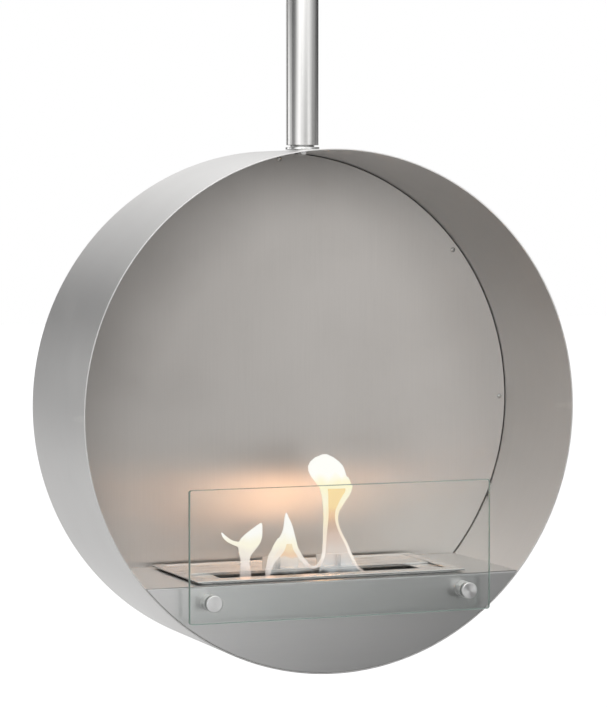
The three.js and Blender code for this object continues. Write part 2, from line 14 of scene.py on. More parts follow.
import bpy
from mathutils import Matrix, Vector


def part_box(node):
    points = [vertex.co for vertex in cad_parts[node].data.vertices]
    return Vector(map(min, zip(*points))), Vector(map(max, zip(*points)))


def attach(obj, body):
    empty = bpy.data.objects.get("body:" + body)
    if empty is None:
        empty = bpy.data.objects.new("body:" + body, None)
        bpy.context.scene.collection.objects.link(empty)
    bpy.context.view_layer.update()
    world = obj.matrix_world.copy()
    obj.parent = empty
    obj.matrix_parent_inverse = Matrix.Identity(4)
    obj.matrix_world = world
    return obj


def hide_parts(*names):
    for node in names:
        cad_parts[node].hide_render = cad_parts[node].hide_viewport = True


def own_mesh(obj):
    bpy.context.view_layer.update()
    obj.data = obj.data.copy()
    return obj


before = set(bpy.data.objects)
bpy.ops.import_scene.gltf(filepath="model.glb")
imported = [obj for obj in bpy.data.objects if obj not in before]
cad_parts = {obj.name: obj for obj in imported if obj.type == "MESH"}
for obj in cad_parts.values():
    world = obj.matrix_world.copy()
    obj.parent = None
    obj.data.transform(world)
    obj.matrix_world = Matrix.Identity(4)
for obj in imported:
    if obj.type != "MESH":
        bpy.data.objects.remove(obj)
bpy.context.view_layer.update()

log = logging.getLogger("fireplace")

MM = 0.001
FULL_TURN = 2 * math.pi
QUARTER_TURN = math.pi / 2
DRUM_CENTRE = Vector((0.0, 0.0, -0.7))
STRAIGHT = 0.99
SMOOTH_BELOW = math.radians(35)
SIDES = ("left", "right")

Point = tuple[float, float]
Place = tuple[float, float, float]
Colour = tuple[float, float, float]
Rungs = tuple[tuple[float, float, float, float], ...]
Line = tuple[tuple[float, float, float], ...]


class Axis(Enum):
    """The axis that a round piece is turned about."""

    Y = "Y"
    Z = "Z"


class Grain(Enum):
    """The way the lines of a brushed finish run over a piece."""

    UPRIGHT = "along Z"
    LEVEL = "along X"
    AROUND_DRUM = "around the drum"


# ---------------------------------------------------------------------------------- workbench


def clear_selection() -> None:
    """Deselects every object."""
    bpy.ops.object.select_all(action="DESELECT")


def pick(piece: bpy.types.Object) -> None:
    """Selects one piece alone and makes it active.

    Args:
        piece: The piece that the next operators work on.
    """
    clear_selection()
    piece.select_set(True)
    bpy.context.view_layer.objects.active = piece


@contextmanager
def editing(piece: bpy.types.Object, everything: bool = False) -> Iterator[bpy.types.Object]:
    """Opens a piece in edit mode, and closes it again.

    Args:
        piece: The piece to edit.
        everything: Whether all of it starts selected, instead of nothing.

    Yields:
        The same piece.
    """
    pick(piece)
    bpy.ops.object.mode_set(mode="EDIT")
    bpy.ops.mesh.select_all(action="SELECT" if everything else "DESELECT")
    yield piece
    bpy.ops.object.mode_set(mode="OBJECT")


def settle(piece: bpy.types.Object) -> None:
    """Merges doubled points and turns all faces outwards.

    Args:
        piece: A closed piece.
    """
    with editing(piece, everything=True):
        bpy.ops.mesh.remove_doubles(threshold=1e-6)
        bpy.ops.mesh.normals_make_consistent(inside=False)


def smooth(piece: bpy.types.Object) -> bpy.types.Object:
    """Shades a piece smooth, with its flat faces left flat and its sharp edges sharp.

    Args:
        piece: The piece to shade.

    Returns:
        The same piece.
    """
    pick(piece)
    bpy.ops.object.shade_smooth_by_angle(angle=SMOOTH_BELOW)
    apply_modifier(piece, "WEIGHTED_NORMAL", mode="FACE_AREA", weight=50, keep_sharp=True)
    return piece


def apply_modifier(piece: bpy.types.Object, kind: str, **settings: object) -> None:
    """Adds one modifier to a piece and applies it.

    Args:
        piece: The piece to change.
        kind: The modifier's type.
        **settings: The modifier's properties.
    """
    pick(piece)
    modifier = piece.modifiers.new(kind.title(), kind)
    for name, value in settings.items():
        setattr(modifier, name, value)
    bpy.ops.object.modifier_apply(modifier=modifier.name)


def soften_edges(
    piece: bpy.types.Object, width: float, segments: int = 2, degrees: float = 40.0
) -> None:
    """Rounds every edge sharper than an angle.

    Args:
        piece: The piece to change.
        width: The width of the rounding.
        segments: How many faces the rounding has.
        degrees: The angle above which an edge is rounded.
    """
    apply_modifier(
        piece,
        "BEVEL",
        width=width,
        segments=segments,
        limit_method="ANGLE",
        angle_limit=math.radians(degrees),
        use_clamp_overlap=True,
    )


def eased(
    piece: bpy.types.Object, width: float, segments: int = 2, degrees: float = 40.0
) -> bpy.types.Object:
    """Rounds a piece's sharp edges and shades it smooth.

    Args:
        piece: The piece to finish.
        width: The width of the rounding.
        segments: How many faces the rounding has.
        degrees: The angle above which an edge is rounded.

    Returns:
        The same piece.
    """
    soften_edges(piece, width, segments, degrees)
    return smooth(piece)


def start_piece(name: str, first: Vector) -> bpy.types.Object:
    """Starts a piece from a small plane that is merged into a single point.

    Args:
        name: The piece's name.
        first: Where the point lies.

    Returns:
        The new piece, with its origin at the frame's origin.
    """
    clear_selection()
    bpy.ops.mesh.primitive_plane_add(size=0.01, location=(0, 0, 0))
    piece = bpy.context.active_object
    piece.name = piece.data.name = name
    with editing(piece, everything=True):
        bpy.ops.mesh.merge(type="CENTER")
        bpy.ops.transform.translate(value=first)
    return piece


def draw_line(piece: bpy.types.Object, points: Sequence[Vector]) -> None:
    """Extrudes a piece's single point along a line.

    Args:
        piece: A piece from start_piece.
        points: The line's points, of which the first is the piece's own point.
    """
    with editing(piece, everything=True):
        for here, there in zip(points, points[1:]):
            bpy.ops.mesh.extrude_vertices_move(TRANSFORM_OT_translate={"value": there - here})


def turned(
    name: str, profile: Sequence[Point], axis: Axis, centre: Vector, steps: int = 96, closed: bool = True
) -> bpy.types.Object:
    """Turns a profile about an axis, as on a lathe.

    Args:
        name: The piece's name.
        profile: Points of (radius, place along the axis).
        axis: The axis of turning.
        centre: A point on the axis, from which the places are measured.
        steps: How many facets go round.
        closed: Whether the last point is joined to the first.

    Returns:
        The turned piece.
    """
    along = Vector((0, 0, 1)) if axis is Axis.Z else Vector((0, 1, 0))
    points = [centre + Vector((radius, 0, 0)) + along * place for radius, place in profile]
    if closed:
        points.append(points[0])
    piece = start_piece(name, points[0])
    draw_line(piece, points)
    with editing(piece, everything=True):
        bpy.ops.mesh.spin(steps=steps, angle=FULL_TURN, center=centre, axis=along, use_auto_merge=True)
    settle(piece)
    return piece


def block(name: str, low: Sequence[float], high: Sequence[float]) -> bpy.types.Object:
    """Makes a block between two corners.

    Args:
        name: The piece's name.
        low: The lowest corner.
        high: The highest corner.

    Returns:
        The block, with its place in its mesh.
    """
    clear_selection()
    low_corner, high_corner = Vector(low), Vector(high)
    bpy.ops.mesh.primitive_cube_add(size=1, location=(low_corner + high_corner) / 2)
    piece = bpy.context.active_object
    piece.name = piece.data.name = name
    piece.scale = high_corner - low_corner
    bpy.ops.object.transform_apply(location=True, rotation=True, scale=True)
    return piece


def bevel_upright_edges(piece: bpy.types.Object, along: Axis, radius: float, segments: int = 6) -> None:
    """Rounds the edges of a block that run along one axis.

    Args:
        piece: A block.
        along: The axis that the edges run along.
        radius: The radius of the rounding.
        segments: How many faces each rounding has.
    """
    index = 1 if along is Axis.Y else 2
    with editing(piece):
        bpy.ops.mesh.select_mode(type="EDGE")
        bpy.ops.object.mode_set(mode="OBJECT")
        mesh = piece.data
        for edge in mesh.edges:
            first, second = (mesh.vertices[n].co for n in edge.vertices)
            span = second - first
            edge.select = abs(span[index]) > STRAIGHT * span.length
        bpy.ops.object.mode_set(mode="EDIT")
        bpy.ops.mesh.bevel(offset=radius, segments=segments, affect="EDGES")
        bpy.ops.mesh.select_mode(type="VERT")


def combine(piece: bpy.types.Object, tool: bpy.types.Object, operation: str) -> None:
    """Cuts a piece with a tool, or keeps what they share, and removes the tool.

    Args:
        piece: The piece that stays.
        tool: The piece that is used up.
        operation: DIFFERENCE or INTERSECT.
    """
    apply_modifier(piece, "BOOLEAN", operation=operation, solver="EXACT", object=tool)
    bpy.data.objects.remove(tool)


def copied(piece: bpy.types.Object, name: str, offset: Sequence[float]) -> bpy.types.Object:
    """Copies a piece, with a mesh of its own, to another place.

    Args:
        piece: The piece to copy.
        name: The copy's name.
        offset: How far the copy lies from it.

    Returns:
        The copy.
    """
    copy = piece.copy()
    copy.data = piece.data.copy()
    copy.name = copy.data.name = name
    bpy.context.scene.collection.objects.link(copy)
    with editing(copy, everything=True):
        bpy.ops.transform.translate(value=offset)
    return copy


def disc_tool(
    radius: float, low: float, high: float, centre: Vector, axis: Axis, steps: int
) -> bpy.types.Object:
    """Makes a plain round bar for cutting.

    Args:
        radius: The bar's radius.
        low: Where it starts along the axis, from the centre.
        high: Where it ends.
        centre: A point on its axis.
        axis: The axis that it lies along.
        steps: How many facets go round.

    Returns:
        The bar.
    """
    profile = [(0.0, low), (radius, low), (radius, high), (0.0, high)]
    return turned("tool", profile, axis, centre, steps, closed=False)


def axis_of(node: str) -> Vector:
    """Finds where a CAD node's axis along Y meets depth 0.

    Args:
        node: The CAD node.

    Returns:
        The point.
    """
    low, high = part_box(node)
    return Vector(((low.x + high.x) / 2, 0.0, (low.z + high.z) / 2))


# ------------------------------------------------------------------------------- node helpers


@dataclass
class Board:
    """A node tree, with short ways to add to it."""

    tree: bpy.types.NodeTree

    def node(
        self, kind: str, inputs: dict[str | int, object] | None = None, **settings: object
    ) -> bpy.types.Node:
        """Adds a node.

        Args:
            kind: The node's type.
            inputs: What each input is joined to, or its value.
            **settings: The node's properties.

        Returns:
            The node.
        """
        made = self.tree.nodes.new(kind)
        for name, value in settings.items():
            setattr(made, name, value)
        return self.wire(made, inputs or {})

    def wire(self, node: bpy.types.Node, inputs: dict[str | int, object]) -> bpy.types.Node:
        """Joins sockets to a node's inputs, or sets their values.

        Args:
            node: The node.
            inputs: What each input is joined to, or its value.

        Returns:
            The same node.
        """
        for key, value in inputs.items():
            if isinstance(value, bpy.types.NodeSocket):
                self.tree.links.new(value, node.inputs[key])
            else:
                node.inputs[key].default_value = value
        return node

    def own(self) -> bpy.types.NodeSocket:
        """Adds the object's own coordinates."""
        return self.node("ShaderNodeTexCoord").outputs["Object"]

    def placed(self, group: bpy.types.NodeTree, vector: object, **values: float) -> Sequence:
        """Places a shared node group.

        Args:
            group: The group.
            vector: The coordinates that it reads.
            **values: Its other inputs.

        Returns:
            The outputs of the placed group.
        """
        return self.node("ShaderNodeGroup", {"Vector": vector, **values}, node_tree=group).outputs

    def noise(self, vector: object, scale: object, detail: float, **more: float) -> bpy.types.NodeSocket:
        """Adds a Noise Texture node and returns its value.

        Args:
            vector: The coordinates that it reads.
            scale: Its scale.
            detail: Its detail.
            **more: Its other inputs.

        Returns:
            The node's first output.
        """
        inputs = {"Vector": vector, "Scale": scale, "Detail": detail, **more}
        return self.node("ShaderNodeTexNoise", inputs).outputs[0]

    def bump(self, strength: float, distance: float, height: object) -> bpy.types.NodeSocket:
        """Adds a Bump node and returns its normal.

        Args:
            strength: How strongly it acts.
            distance: How deep it is, in metres.
            height: The height that it reads.

        Returns:
            The node's output.
        """
        inputs = {"Strength": strength, "Distance": distance, "Height": height}
        return self.node("ShaderNodeBump", inputs).outputs[0]

    def sum(
        self, operation: str, first: object, second: object = 0.0, third: object = 0.0
    ) -> bpy.types.NodeSocket:
        """Adds a Math node and returns its output.

        Args:
            operation: The node's operation.
            first: The first value or socket.
            second: The second one.
            third: The third one.

        Returns:
            The node's output.
        """
        inputs = {0: first, 1: second, 2: third}
        return self.node("ShaderNodeMath", inputs, operation=operation).outputs[0]

    def remap(
        self, value: object, low: float, high: object, to_low: float, to_high: float, gentle: bool = False
    ) -> bpy.types.NodeSocket:
        """Adds a Map Range node and returns its output.

        Args:
            value: The value or socket.
            low: The value that becomes to_low.
            high: The value that becomes to_high.
            to_low: What the low value becomes.
            to_high: What the high value becomes.
            gentle: Whether the ends are eased.

        Returns:
            The node's output.
        """
        kind = "SMOOTHSTEP" if gentle else "LINEAR"
        inputs = {0: value, 1: low, 2: high, 3: to_low, 4: to_high}
        return self.node("ShaderNodeMapRange", inputs, interpolation_type=kind).outputs[0]

    def blend(self, factor: object, first: object, second: object) -> bpy.types.NodeSocket:
        """Adds a colour Mix node and returns its output.

        Args:
            factor: How much of the second colour shows.
            first: The first colour or socket.
            second: The second one.

        Returns:
            The node's output.
        """
        colours = [c if isinstance(c, bpy.types.NodeSocket) else (*c, 1.0) for c in (first, second)]
        inputs = {0: factor, 6: colours[0], 7: colours[1]}
        return self.node("ShaderNodeMix", inputs, data_type="RGBA").outputs[2]

    def vector(self, operation: str, first: object, second: object = (0, 0, 0)) -> bpy.types.Node:
        """Adds a Vector Math node.

        Args:
            operation: The node's operation.
            first: The first vector or socket.
            second: The second one.

        Returns:
            The node.
        """
        return self.node("ShaderNodeVectorMath", {0: first, 1: second}, operation=operation)


@dataclass
class Group:
    """A shader node group that several finishes share."""

    name: str
    inputs: Sequence[tuple[str, str, float | None]]
    outputs: Sequence[tuple[str, str]]

    def build(self) -> tuple[Board, bpy.types.Node, bpy.types.Node]:
        """Makes the group with its sockets.

        Returns:
            Its board, its input node and its output node.
        """
        tree = bpy.data.node_groups.new(self.name, "ShaderNodeTree")
        for name, kind, value in self.inputs:
            socket = tree.interface.new_socket(name, in_out="INPUT", socket_type=kind)
            if value is not None:
                socket.default_value = value
        for name, kind in self.outputs:
            tree.interface.new_socket(name, in_out="OUTPUT", socket_type=kind)
        board = Board(tree)
        return board, board.node("NodeGroupInput"), board.node("NodeGroupOutput")


def steel_grain_group() -> bpy.types.NodeTree:
    """Builds the shared grain: streaks along X of its vector, and broad clouds.

    Returns:
        The node group.
    """
    spec = Group(
        "steel_grain",
        [
            ("Vector", "NodeSocketVector", None),
            ("Along", "NodeSocketFloat", 14.0),
            ("Across", "NodeSocketFloat", 1500.0),
            ("Cloud Scale", "NodeSocketFloat", 6.0),
        ],
        [("Streaks", "NodeSocketFloat"), ("Coarse", "NodeSocketFloat"), ("Clouds", "NodeSocketFloat")],
    )
    board, given, out = spec.build()
    vector, along, across, cloud_scale = (given.outputs[n] for n in range(4))
    stretch = board.node("ShaderNodeCombineXYZ", {0: along, 1: across, 2: across}).outputs[0]
    fine = board.vector("MULTIPLY", vector, stretch).outputs[0]
    broad = board.vector("MULTIPLY", fine, (0.6, 0.3, 0.3)).outputs[0]
    values = {
        "Streaks": board.noise(fine, 1.0, 2.0),
        "Coarse": board.noise(broad, 1.0, 3.0),
        "Clouds": board.noise(vector, cloud_scale, 3.0, Roughness=0.45),
    }
    board.wire(out, values)
    return board.tree


def wound_coordinates_group() -> bpy.types.NodeTree:
    """Builds the shared coordinates that run round an axis along Y.

    Returns:
        The node group, which puts out (arc length, depth, radius).
    """
    spec = Group(
        "wound_coordinates",
        [("Vector", "NodeSocketVector", None)],
        [("Vector", "NodeSocketVector")],
    )
    board, given, out = spec.build()
    parts = board.node("ShaderNodeSeparateXYZ", {0: given.outputs[0]})
    downwards = board.sum("MULTIPLY", parts.outputs[2], -1.0)
    angle = board.sum("ARCTAN2", parts.outputs[0], downwards)
    squares = board.sum("MULTIPLY", parts.outputs[0], parts.outputs[0])
    square = board.sum("MULTIPLY_ADD", parts.outputs[2], parts.outputs[2], squares)
    radius = board.sum("SQRT", square)
    arc = board.sum("MULTIPLY", angle, radius)
    wound = board.node("ShaderNodeCombineXYZ", {0: arc, 1: parts.outputs[1], 2: radius})
    board.wire(out, {0: wound.outputs[0]})
    return board.tree


def edge_wear_group() -> bpy.types.NodeTree:
    """Builds the shared edge wear: a mask along convex edges, broken up by noise.

    Returns:
        The node group.
    """
    spec = Group(
        "edge_wear",
        [("Vector", "NodeSocketVector", None), ("Reach", "NodeSocketFloat", 0.56)],
        [("Wear", "NodeSocketFloat")],
    )
    board, given, out = spec.build()
    pointed = board.node("ShaderNodeNewGeometry").outputs["Pointiness"]
    edge = board.remap(pointed, 0.505, given.outputs["Reach"], 0.0, 1.0)
    broken = board.remap(board.noise(given.outputs["Vector"], 90.0, 3.0), 0.3, 0.6, 0.45, 1.0)
    board.wire(out, {0: board.sum("MULTIPLY", edge, broken)})
    return board.tree


def handling_film_group() -> bpy.types.NodeTree:
    """Builds the shared film of dust and wiping marks.

    Returns:
        The node group.
    """
    spec = Group("handling_film", [("Vector", "NodeSocketVector", None)], [("Film", "NodeSocketFloat")])
    board, given, out = spec.build()
    wiped = board.noise(given.outputs[0], 9.0, 2.0, Distortion=0.8)
    dots = board.noise(given.outputs[0], 55.0, 4.0, Roughness=0.65)
    soft = board.remap(wiped, 0.42, 0.72, 0.0, 1.0, gentle=True)
    speck = board.remap(dots, 0.5, 0.75, 0.0, 0.6)
    board.wire(out, {0: board.sum("MULTIPLY_ADD", soft, speck, board.sum("MULTIPLY", soft, 0.4))})
    return board.tree


@dataclass(frozen=True)
class Groups:
    """The shared node groups, built once."""

    grain: bpy.types.NodeTree
    wound: bpy.types.NodeTree
    wear: bpy.types.NodeTree
    film: bpy.types.NodeTree

    @classmethod
    def build(cls) -> "Groups":
        """Builds all shared groups."""
        grain, wound = steel_grain_group(), wound_coordinates_group()
        return cls(grain, wound, edge_wear_group(), handling_film_group())


# ----------------------------------------------------------------------------------- finishes


def new_material(name: str) -> tuple[bpy.types.Material, Board, bpy.types.Node]:
    """Starts a node material.

    Args:
        name: The material's name.

    Returns:
        The material, its board and its Principled shader.
    """
    material = bpy.data.materials.new(name)
    material.use_nodes = True
    board = Board(material.node_tree)
    return material, board, material.node_tree.nodes["Principled BSDF"]


def steel_roughness(
    board: Board, pattern: bpy.types.NodeSocket, film: bpy.types.NodeSocket, middle: float
) -> bpy.types.NodeSocket:
    """Varies the roughness of steel with its tool marks and its film.

    Args:
        board: The material's board.
        pattern: The tool marks.
        film: The handling film.
        middle: The finish's own roughness.

    Returns:
        The roughness.
    """
    rough = board.remap(pattern, 0.3, 0.7, middle - 0.03, middle + 0.04)
    return board.sum("MULTIPLY_ADD", film, 0.05, rough)


@dataclass(frozen=True)
class Shade:
    """Painted shade: a soft darker zone painted into a surface's colour, by its distance from a point, a line
    or a plane.
    """

    centre: Place
    reach: tuple[float, float]
    depths: tuple[float, float]
    weights: Place

    def mask(self, board: Board) -> bpy.types.NodeSocket:
        """Makes the mask, whose value is the share of the colour that the painted shade takes away.

        Args:
            board: The material's board.

        Returns:
            The mask.
        """
        offset = board.vector("SUBTRACT", board.own(), self.centre).outputs[0]
        weighted = board.vector("MULTIPLY", offset, self.weights).outputs[0]
        away = board.vector("LENGTH", weighted).outputs["Value"]
        return board.remap(away, *self.reach, *self.depths, gentle=True)


@dataclass(frozen=True)
class BrushedSteel:
    """Sheet or bar of stainless steel with a brushed finish, and painted shades where given."""

    name: str
    colour: Colour
    shade: Colour
    roughness: float
    grain: Grain
    centre: Place = (0.0, 0.0, 0.0)
    relief: float = 0.12
    tone: float = 0.25
    anisotropy: float = 0.0
    painted_shades: tuple[Shade, ...] = ()
    coarse_share: float = 0.35
    fine_share: float = 0.65
    line_depth: float = 0.4 * MM
    dust: Colour = (0.60, 0.58, 0.55)
    bright_edge: Colour = (0.86, 0.85, 0.83)

    def grain_vector(self, board: Board, groups: Groups) -> bpy.types.NodeSocket:
        """Turns the object's own coordinates so that X runs along the grain.

        Args:
            board: The material's board.
            groups: The shared groups.

        Returns:
            The vector to read the grain with.
        """
        moved = board.vector("SUBTRACT", board.own(), self.centre).outputs[0]
        if self.grain is Grain.LEVEL:
            return moved
        if self.grain is Grain.UPRIGHT:
            across, deep, up = board.node("ShaderNodeSeparateXYZ", {0: moved}).outputs
            return board.node("ShaderNodeCombineXYZ", {0: up, 1: across, 2: deep}).outputs[0]
        return board.placed(groups.wound, moved)[0]

    def build(self, groups: Groups) -> bpy.types.Material:
        """Makes the material.

        Args:
            groups: The shared groups.

        Returns:
            The material.
        """
        material, board, shader = new_material(self.name)
        vector = self.grain_vector(board, groups)
        streaks, coarse, clouds = board.placed(groups.grain, vector)
        wear = board.placed(groups.wear, vector)[0]
        film = board.placed(groups.film, vector)[0]
        fine = board.sum("MULTIPLY", streaks, self.fine_share)
        lines = board.sum("MULTIPLY_ADD", coarse, self.coarse_share, fine)
        colour = board.blend(board.remap(lines, 0.35, 0.7, self.tone, 0.0), self.colour, self.shade)
        cloudy = board.remap(clouds, 0.4, 0.75, 0.0, 0.12, gentle=True)
        colour = board.blend(cloudy, colour, self.shade)
        colour = board.blend(board.sum("MULTIPLY", film, 0.08), colour, self.dust)
        colour = board.blend(board.sum("MULTIPLY", wear, 0.5), colour, self.bright_edge)
        # Painted shades: each one darkens the colour towards black by its mask.
        for painted_shade in self.painted_shades:
            colour = board.blend(painted_shade.mask(board), colour, (0.0, 0.0, 0.0))
        inputs = {
            "Base Color": colour,
            "Roughness": steel_roughness(board, lines, film, self.roughness),
            "Normal": board.bump(self.relief, self.line_depth, lines),
            "Metallic": 1.0,
            "Anisotropic": self.anisotropy,
        }
        board.wire(shader, inputs)
        return material


@dataclass(frozen=True)
class PolishedSteel:
    """Machined stainless steel, polished, with fine tool marks."""

    name: str
    colour: Colour
    roughness: float
    centre: Place = (0.0, 0.0, 0.0)
    rings: float = 0.0
    anisotropy: float = 0.0
    marks_along: float = 30.0
    marks_across: float = 2600.0
    mark_depth: float = 0.2 * MM
    bright_edge: Colour = (0.9, 0.9, 0.89)

    def build(self, groups: Groups) -> bpy.types.Material:
        """Makes the material.

        Args:
            groups: The shared groups.

        Returns:
            The material.
        """
        material, board, shader = new_material(self.name)
        moved = board.vector("SUBTRACT", board.own(), self.centre).outputs[0]
        wound = board.placed(groups.wound, moved)[0]
        values = {"Along": self.marks_along, "Across": self.marks_across}
        marks = board.placed(groups.grain, wound, **values)[0]
        film = board.placed(groups.film, moved)[0]
        wear = board.placed(groups.wear, moved)[0]
        dark = tuple(0.8 * part for part in self.colour)
        toned = board.blend(board.remap(marks, 0.35, 0.7, 0.35, 0.0), self.colour, dark)
        worn = board.blend(board.sum("MULTIPLY", wear, 0.4), toned, self.bright_edge)
        inputs = {
            "Base Color": worn,
            "Roughness": steel_roughness(board, marks, film, self.roughness),
            "Normal": board.bump(0.06 + self.rings, self.mark_depth, marks),
            "Metallic": 1.0,
            "Anisotropic": self.anisotropy,
        }
        if self.anisotropy:
            turning = board.node("ShaderNodeTangent", direction_type="RADIAL", axis="Y")
            inputs["Tangent"] = turning.outputs[0]
        board.wire(shader, inputs)
        return material


@dataclass(frozen=True)
class CoatedMetal:
    """Blackened, zinc-plated or other dull metal with a mottled skin."""

    name: str
    colour: Colour
    spots: Colour
    roughness: float
    metallic: float
    scale: float = 220.0
    relief: float = 0.15
    skin_depth: float = 0.3 * MM
    dust: Colour = (0.42, 0.40, 0.37)

    def build(self, groups: Groups) -> bpy.types.Material:
        """Makes the material.

        Args:
            groups: The shared groups.

        Returns:
            The material.
        """
        material, board, shader = new_material(self.name)
        own = board.own()
        film = board.placed(groups.film, own)[0]
        mottle = board.noise(own, self.scale, 5.0, Roughness=0.6)
        crystals = board.node("ShaderNodeTexVoronoi", {"Vector": own, "Scale": self.scale * 0.6})
        patch = board.sum("MULTIPLY_ADD", crystals.outputs["Distance"], 0.5, mottle)
        toned = board.blend(board.remap(patch, 0.45, 0.95, 0.0, 1.0), self.colour, self.spots)
        dusty = board.blend(board.sum("MULTIPLY", film, 0.15), toned, self.dust)
        low, high = self.roughness - 0.08, self.roughness + 0.08
        inputs = {
            "Base Color": dusty,
            "Roughness": board.remap(patch, 0.4, 1.0, low, high),
            "Normal": board.bump(self.relief, self.skin_depth, patch),
            "Metallic": self.metallic,
        }
        board.wire(shader, inputs)
        return material


@dataclass(frozen=True)
class CeramicFibre:
    """Board of matted ceramic fibre."""

    name: str = "ceramic_fibre"
    colour: Colour = (0.80, 0.78, 0.74)
    shade: Colour = (0.50, 0.46, 0.42)
    soot: Colour = (0.16, 0.13, 0.11)

    def build(self, groups: Groups) -> bpy.types.Material:
        """Makes the material.

        Args:
            groups: The shared groups.

        Returns:
            The material.
        """
        material, board, shader = new_material(self.name)
        own = board.own()
        warp = board.node("ShaderNodeTexNoise", {"Vector": own, "Scale": 60.0, "Detail": 2.0})
        bent = board.vector("MULTIPLY_ADD", warp.outputs["Color"], (0.03, 0.03, 0.03))
        matted = board.wire(bent, {2: own}).outputs[0]
        clumps = board.node("ShaderNodeTexVoronoi", {"Vector": matted, "Scale": 130.0})
        fibres = board.noise(matted, 700.0, 4.0)
        height = board.sum("MULTIPLY_ADD", clumps.outputs["Distance"], 0.7, fibres)
        toned = board.blend(board.remap(height, 0.4, 1.1, 0.0, 1.0), self.shade, self.colour)
        film = board.placed(groups.film, own)[0]
        inputs = {
            "Base Color": board.blend(board.sum("MULTIPLY", film, 0.3), toned, self.soot),
            "Roughness": board.remap(height, 0.3, 1.1, 0.98, 0.85),
            "Normal": board.bump(0.7, 1.5 * MM, height),
        }
        board.wire(shader, inputs)
        return material


@dataclass(frozen=True)
class Rubber:
    """Dull grey gasket rubber."""

    name: str = "gasket_rubber"
    colour: Colour = (0.52, 0.53, 0.53)
    shade: Colour = (0.42, 0.43, 0.43)
    dust: Colour = (0.3, 0.3, 0.29)

    def build(self, groups: Groups) -> bpy.types.Material:
        """Makes the material.

        Args:
            groups: The shared groups.

        Returns:
            The material.
        """
        material, board, shader = new_material(self.name)
        own = board.own()
        pores = board.noise(own, 900.0, 3.0)
        film = board.placed(groups.film, own)[0]
        toned = board.blend(board.remap(pores, 0.35, 0.65, 0.0, 1.0), self.shade, self.colour)
        inputs = {
            "Base Color": board.blend(board.sum("MULTIPLY", film, 0.3), toned, self.dust),
            "Roughness": board.remap(pores, 0.3, 0.7, 0.6, 0.75),
            "Normal": board.bump(0.2, 0.1 * MM, pores),
        }
        board.wire(shader, inputs)
        return material


@dataclass(frozen=True)
class ToughenedGlass:
    """Clear toughened glass, or its polished green edge."""

    name: str
    colour: Colour
    roughness: float
    transmission: float

    def build(self, groups: Groups) -> bpy.types.Material:
        """Makes the material.

        Args:
            groups: The shared groups.

        Returns:
            The material.
        """
        material, board, shader = new_material(self.name)
        film = board.placed(groups.film, board.own())[0]
        smeared = tuple(0.985 * part for part in self.colour)
        inputs = {
            "Base Color": board.blend(film, self.colour, smeared),
            "Roughness": board.remap(film, 0.0, 1.0, self.roughness, self.roughness + 0.025),
            "IOR": 1.5,
            "Specular Tint": (0.25, 0.25, 0.25, 1.0),
            "Transmission Weight": self.transmission,
        }
        board.wire(shader, inputs)
        return material


@dataclass(frozen=True)
class Flame:
    """Glowing gas: its colours and cover from foot to tip, and the light that it gives."""

    name: str
    stops: tuple[tuple[float, Colour, float], ...]
    glow: Colour
    glow_heights: tuple[float, float, float, float] = (-0.90, -0.88, -0.78, -0.75)
    faint: Colour = (0.45, 0.43, 0.40)
    flicker: float = 0.004

    def build(self, groups: Groups) -> bpy.types.Material:
        """Makes the material.

        Args:
            groups: The shared groups.

        Returns:
            The material.
        """
        material, board, shader = new_material(self.name)
        own = board.own()
        height = board.node("ShaderNodeSeparateXYZ", {0: own}).outputs[2]
        stretched = board.vector("MULTIPLY", own, (1.0, 1.0, 0.35)).outputs[0]
        licks = board.noise(stretched, 60.0, 3.0, Distortion=0.6)
        wavering = board.remap(licks, 0.3, 0.7, -self.flicker, self.flicker)
        level = board.sum("ADD", height, wavering)
        start, shown, cover = self.stops[0]
        colour, alpha = shown, cover
        for rise, next_shown, next_cover in self.stops[1:]:
            share = board.remap(level, start, rise, 0.0, 1.0, gentle=True)
            colour = board.blend(share, colour, next_shown)
            alpha = board.sum("MULTIPLY_ADD", share, next_cover - cover, alpha)
            start, cover = rise, next_cover
        foot, full, fading, gone = self.glow_heights
        rising = board.remap(height, foot, full, 0.0, 1.0, gentle=True)
        dying = board.remap(height, fading, gone, 1.0, 0.0, gentle=True)
        strength = board.sum("MULTIPLY", rising, dying)
        light = board.blend(strength, self.faint, self.glow)
        rays = board.node("ShaderNodeLightPath").outputs
        watched = board.sum("ADD", rays["Is Camera Ray"], rays["Is Transmission Ray"])
        seen = board.sum("MINIMUM", watched, 1.0)
        inputs = {
            "Emission Color": board.blend(seen, light, colour),
            "Emission Strength": 1.0,
            "Alpha": alpha,
            "Base Color": (0.0, 0.0, 0.0, 1.0),
            "Roughness": 1.0,
            "Specular IOR Level": 0.0,
        }
        board.wire(shader, inputs)
        return material


def dress(piece: bpy.types.Object, *materials: bpy.types.Material) -> None:
    """Gives a piece its materials in place of what it had.

    Args:
        piece: The piece to dress.
        *materials: One material for each slot.
    """
    piece.data.materials.clear()
    for material in materials:
        piece.data.materials.append(material)


def hand_over(
    piece: bpy.types.Object,
    body: str,
    slot: str | None,
    material: bpy.types.Material,
    *nodes: str,
) -> bpy.types.Object:
    """Dresses a new piece, lets it ride on its body and hides what it stands for.

    Args:
        piece: The finished piece.
        body: The CAD body that it rides on.
        slot: The record's material slot, if it has one; not used.
        material: Its material.
        *nodes: The CAD nodes that it stands for.

    Returns:
        The same piece.
    """
    dress(piece, material)
    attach(piece, body)
    if nodes:
        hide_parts(*nodes)
    log.info("%s rides on %s (%d faces)", piece.name, body, len(piece.data.polygons))
    return piece


# ------------------------------------------------------------------------------- sub-assemblies


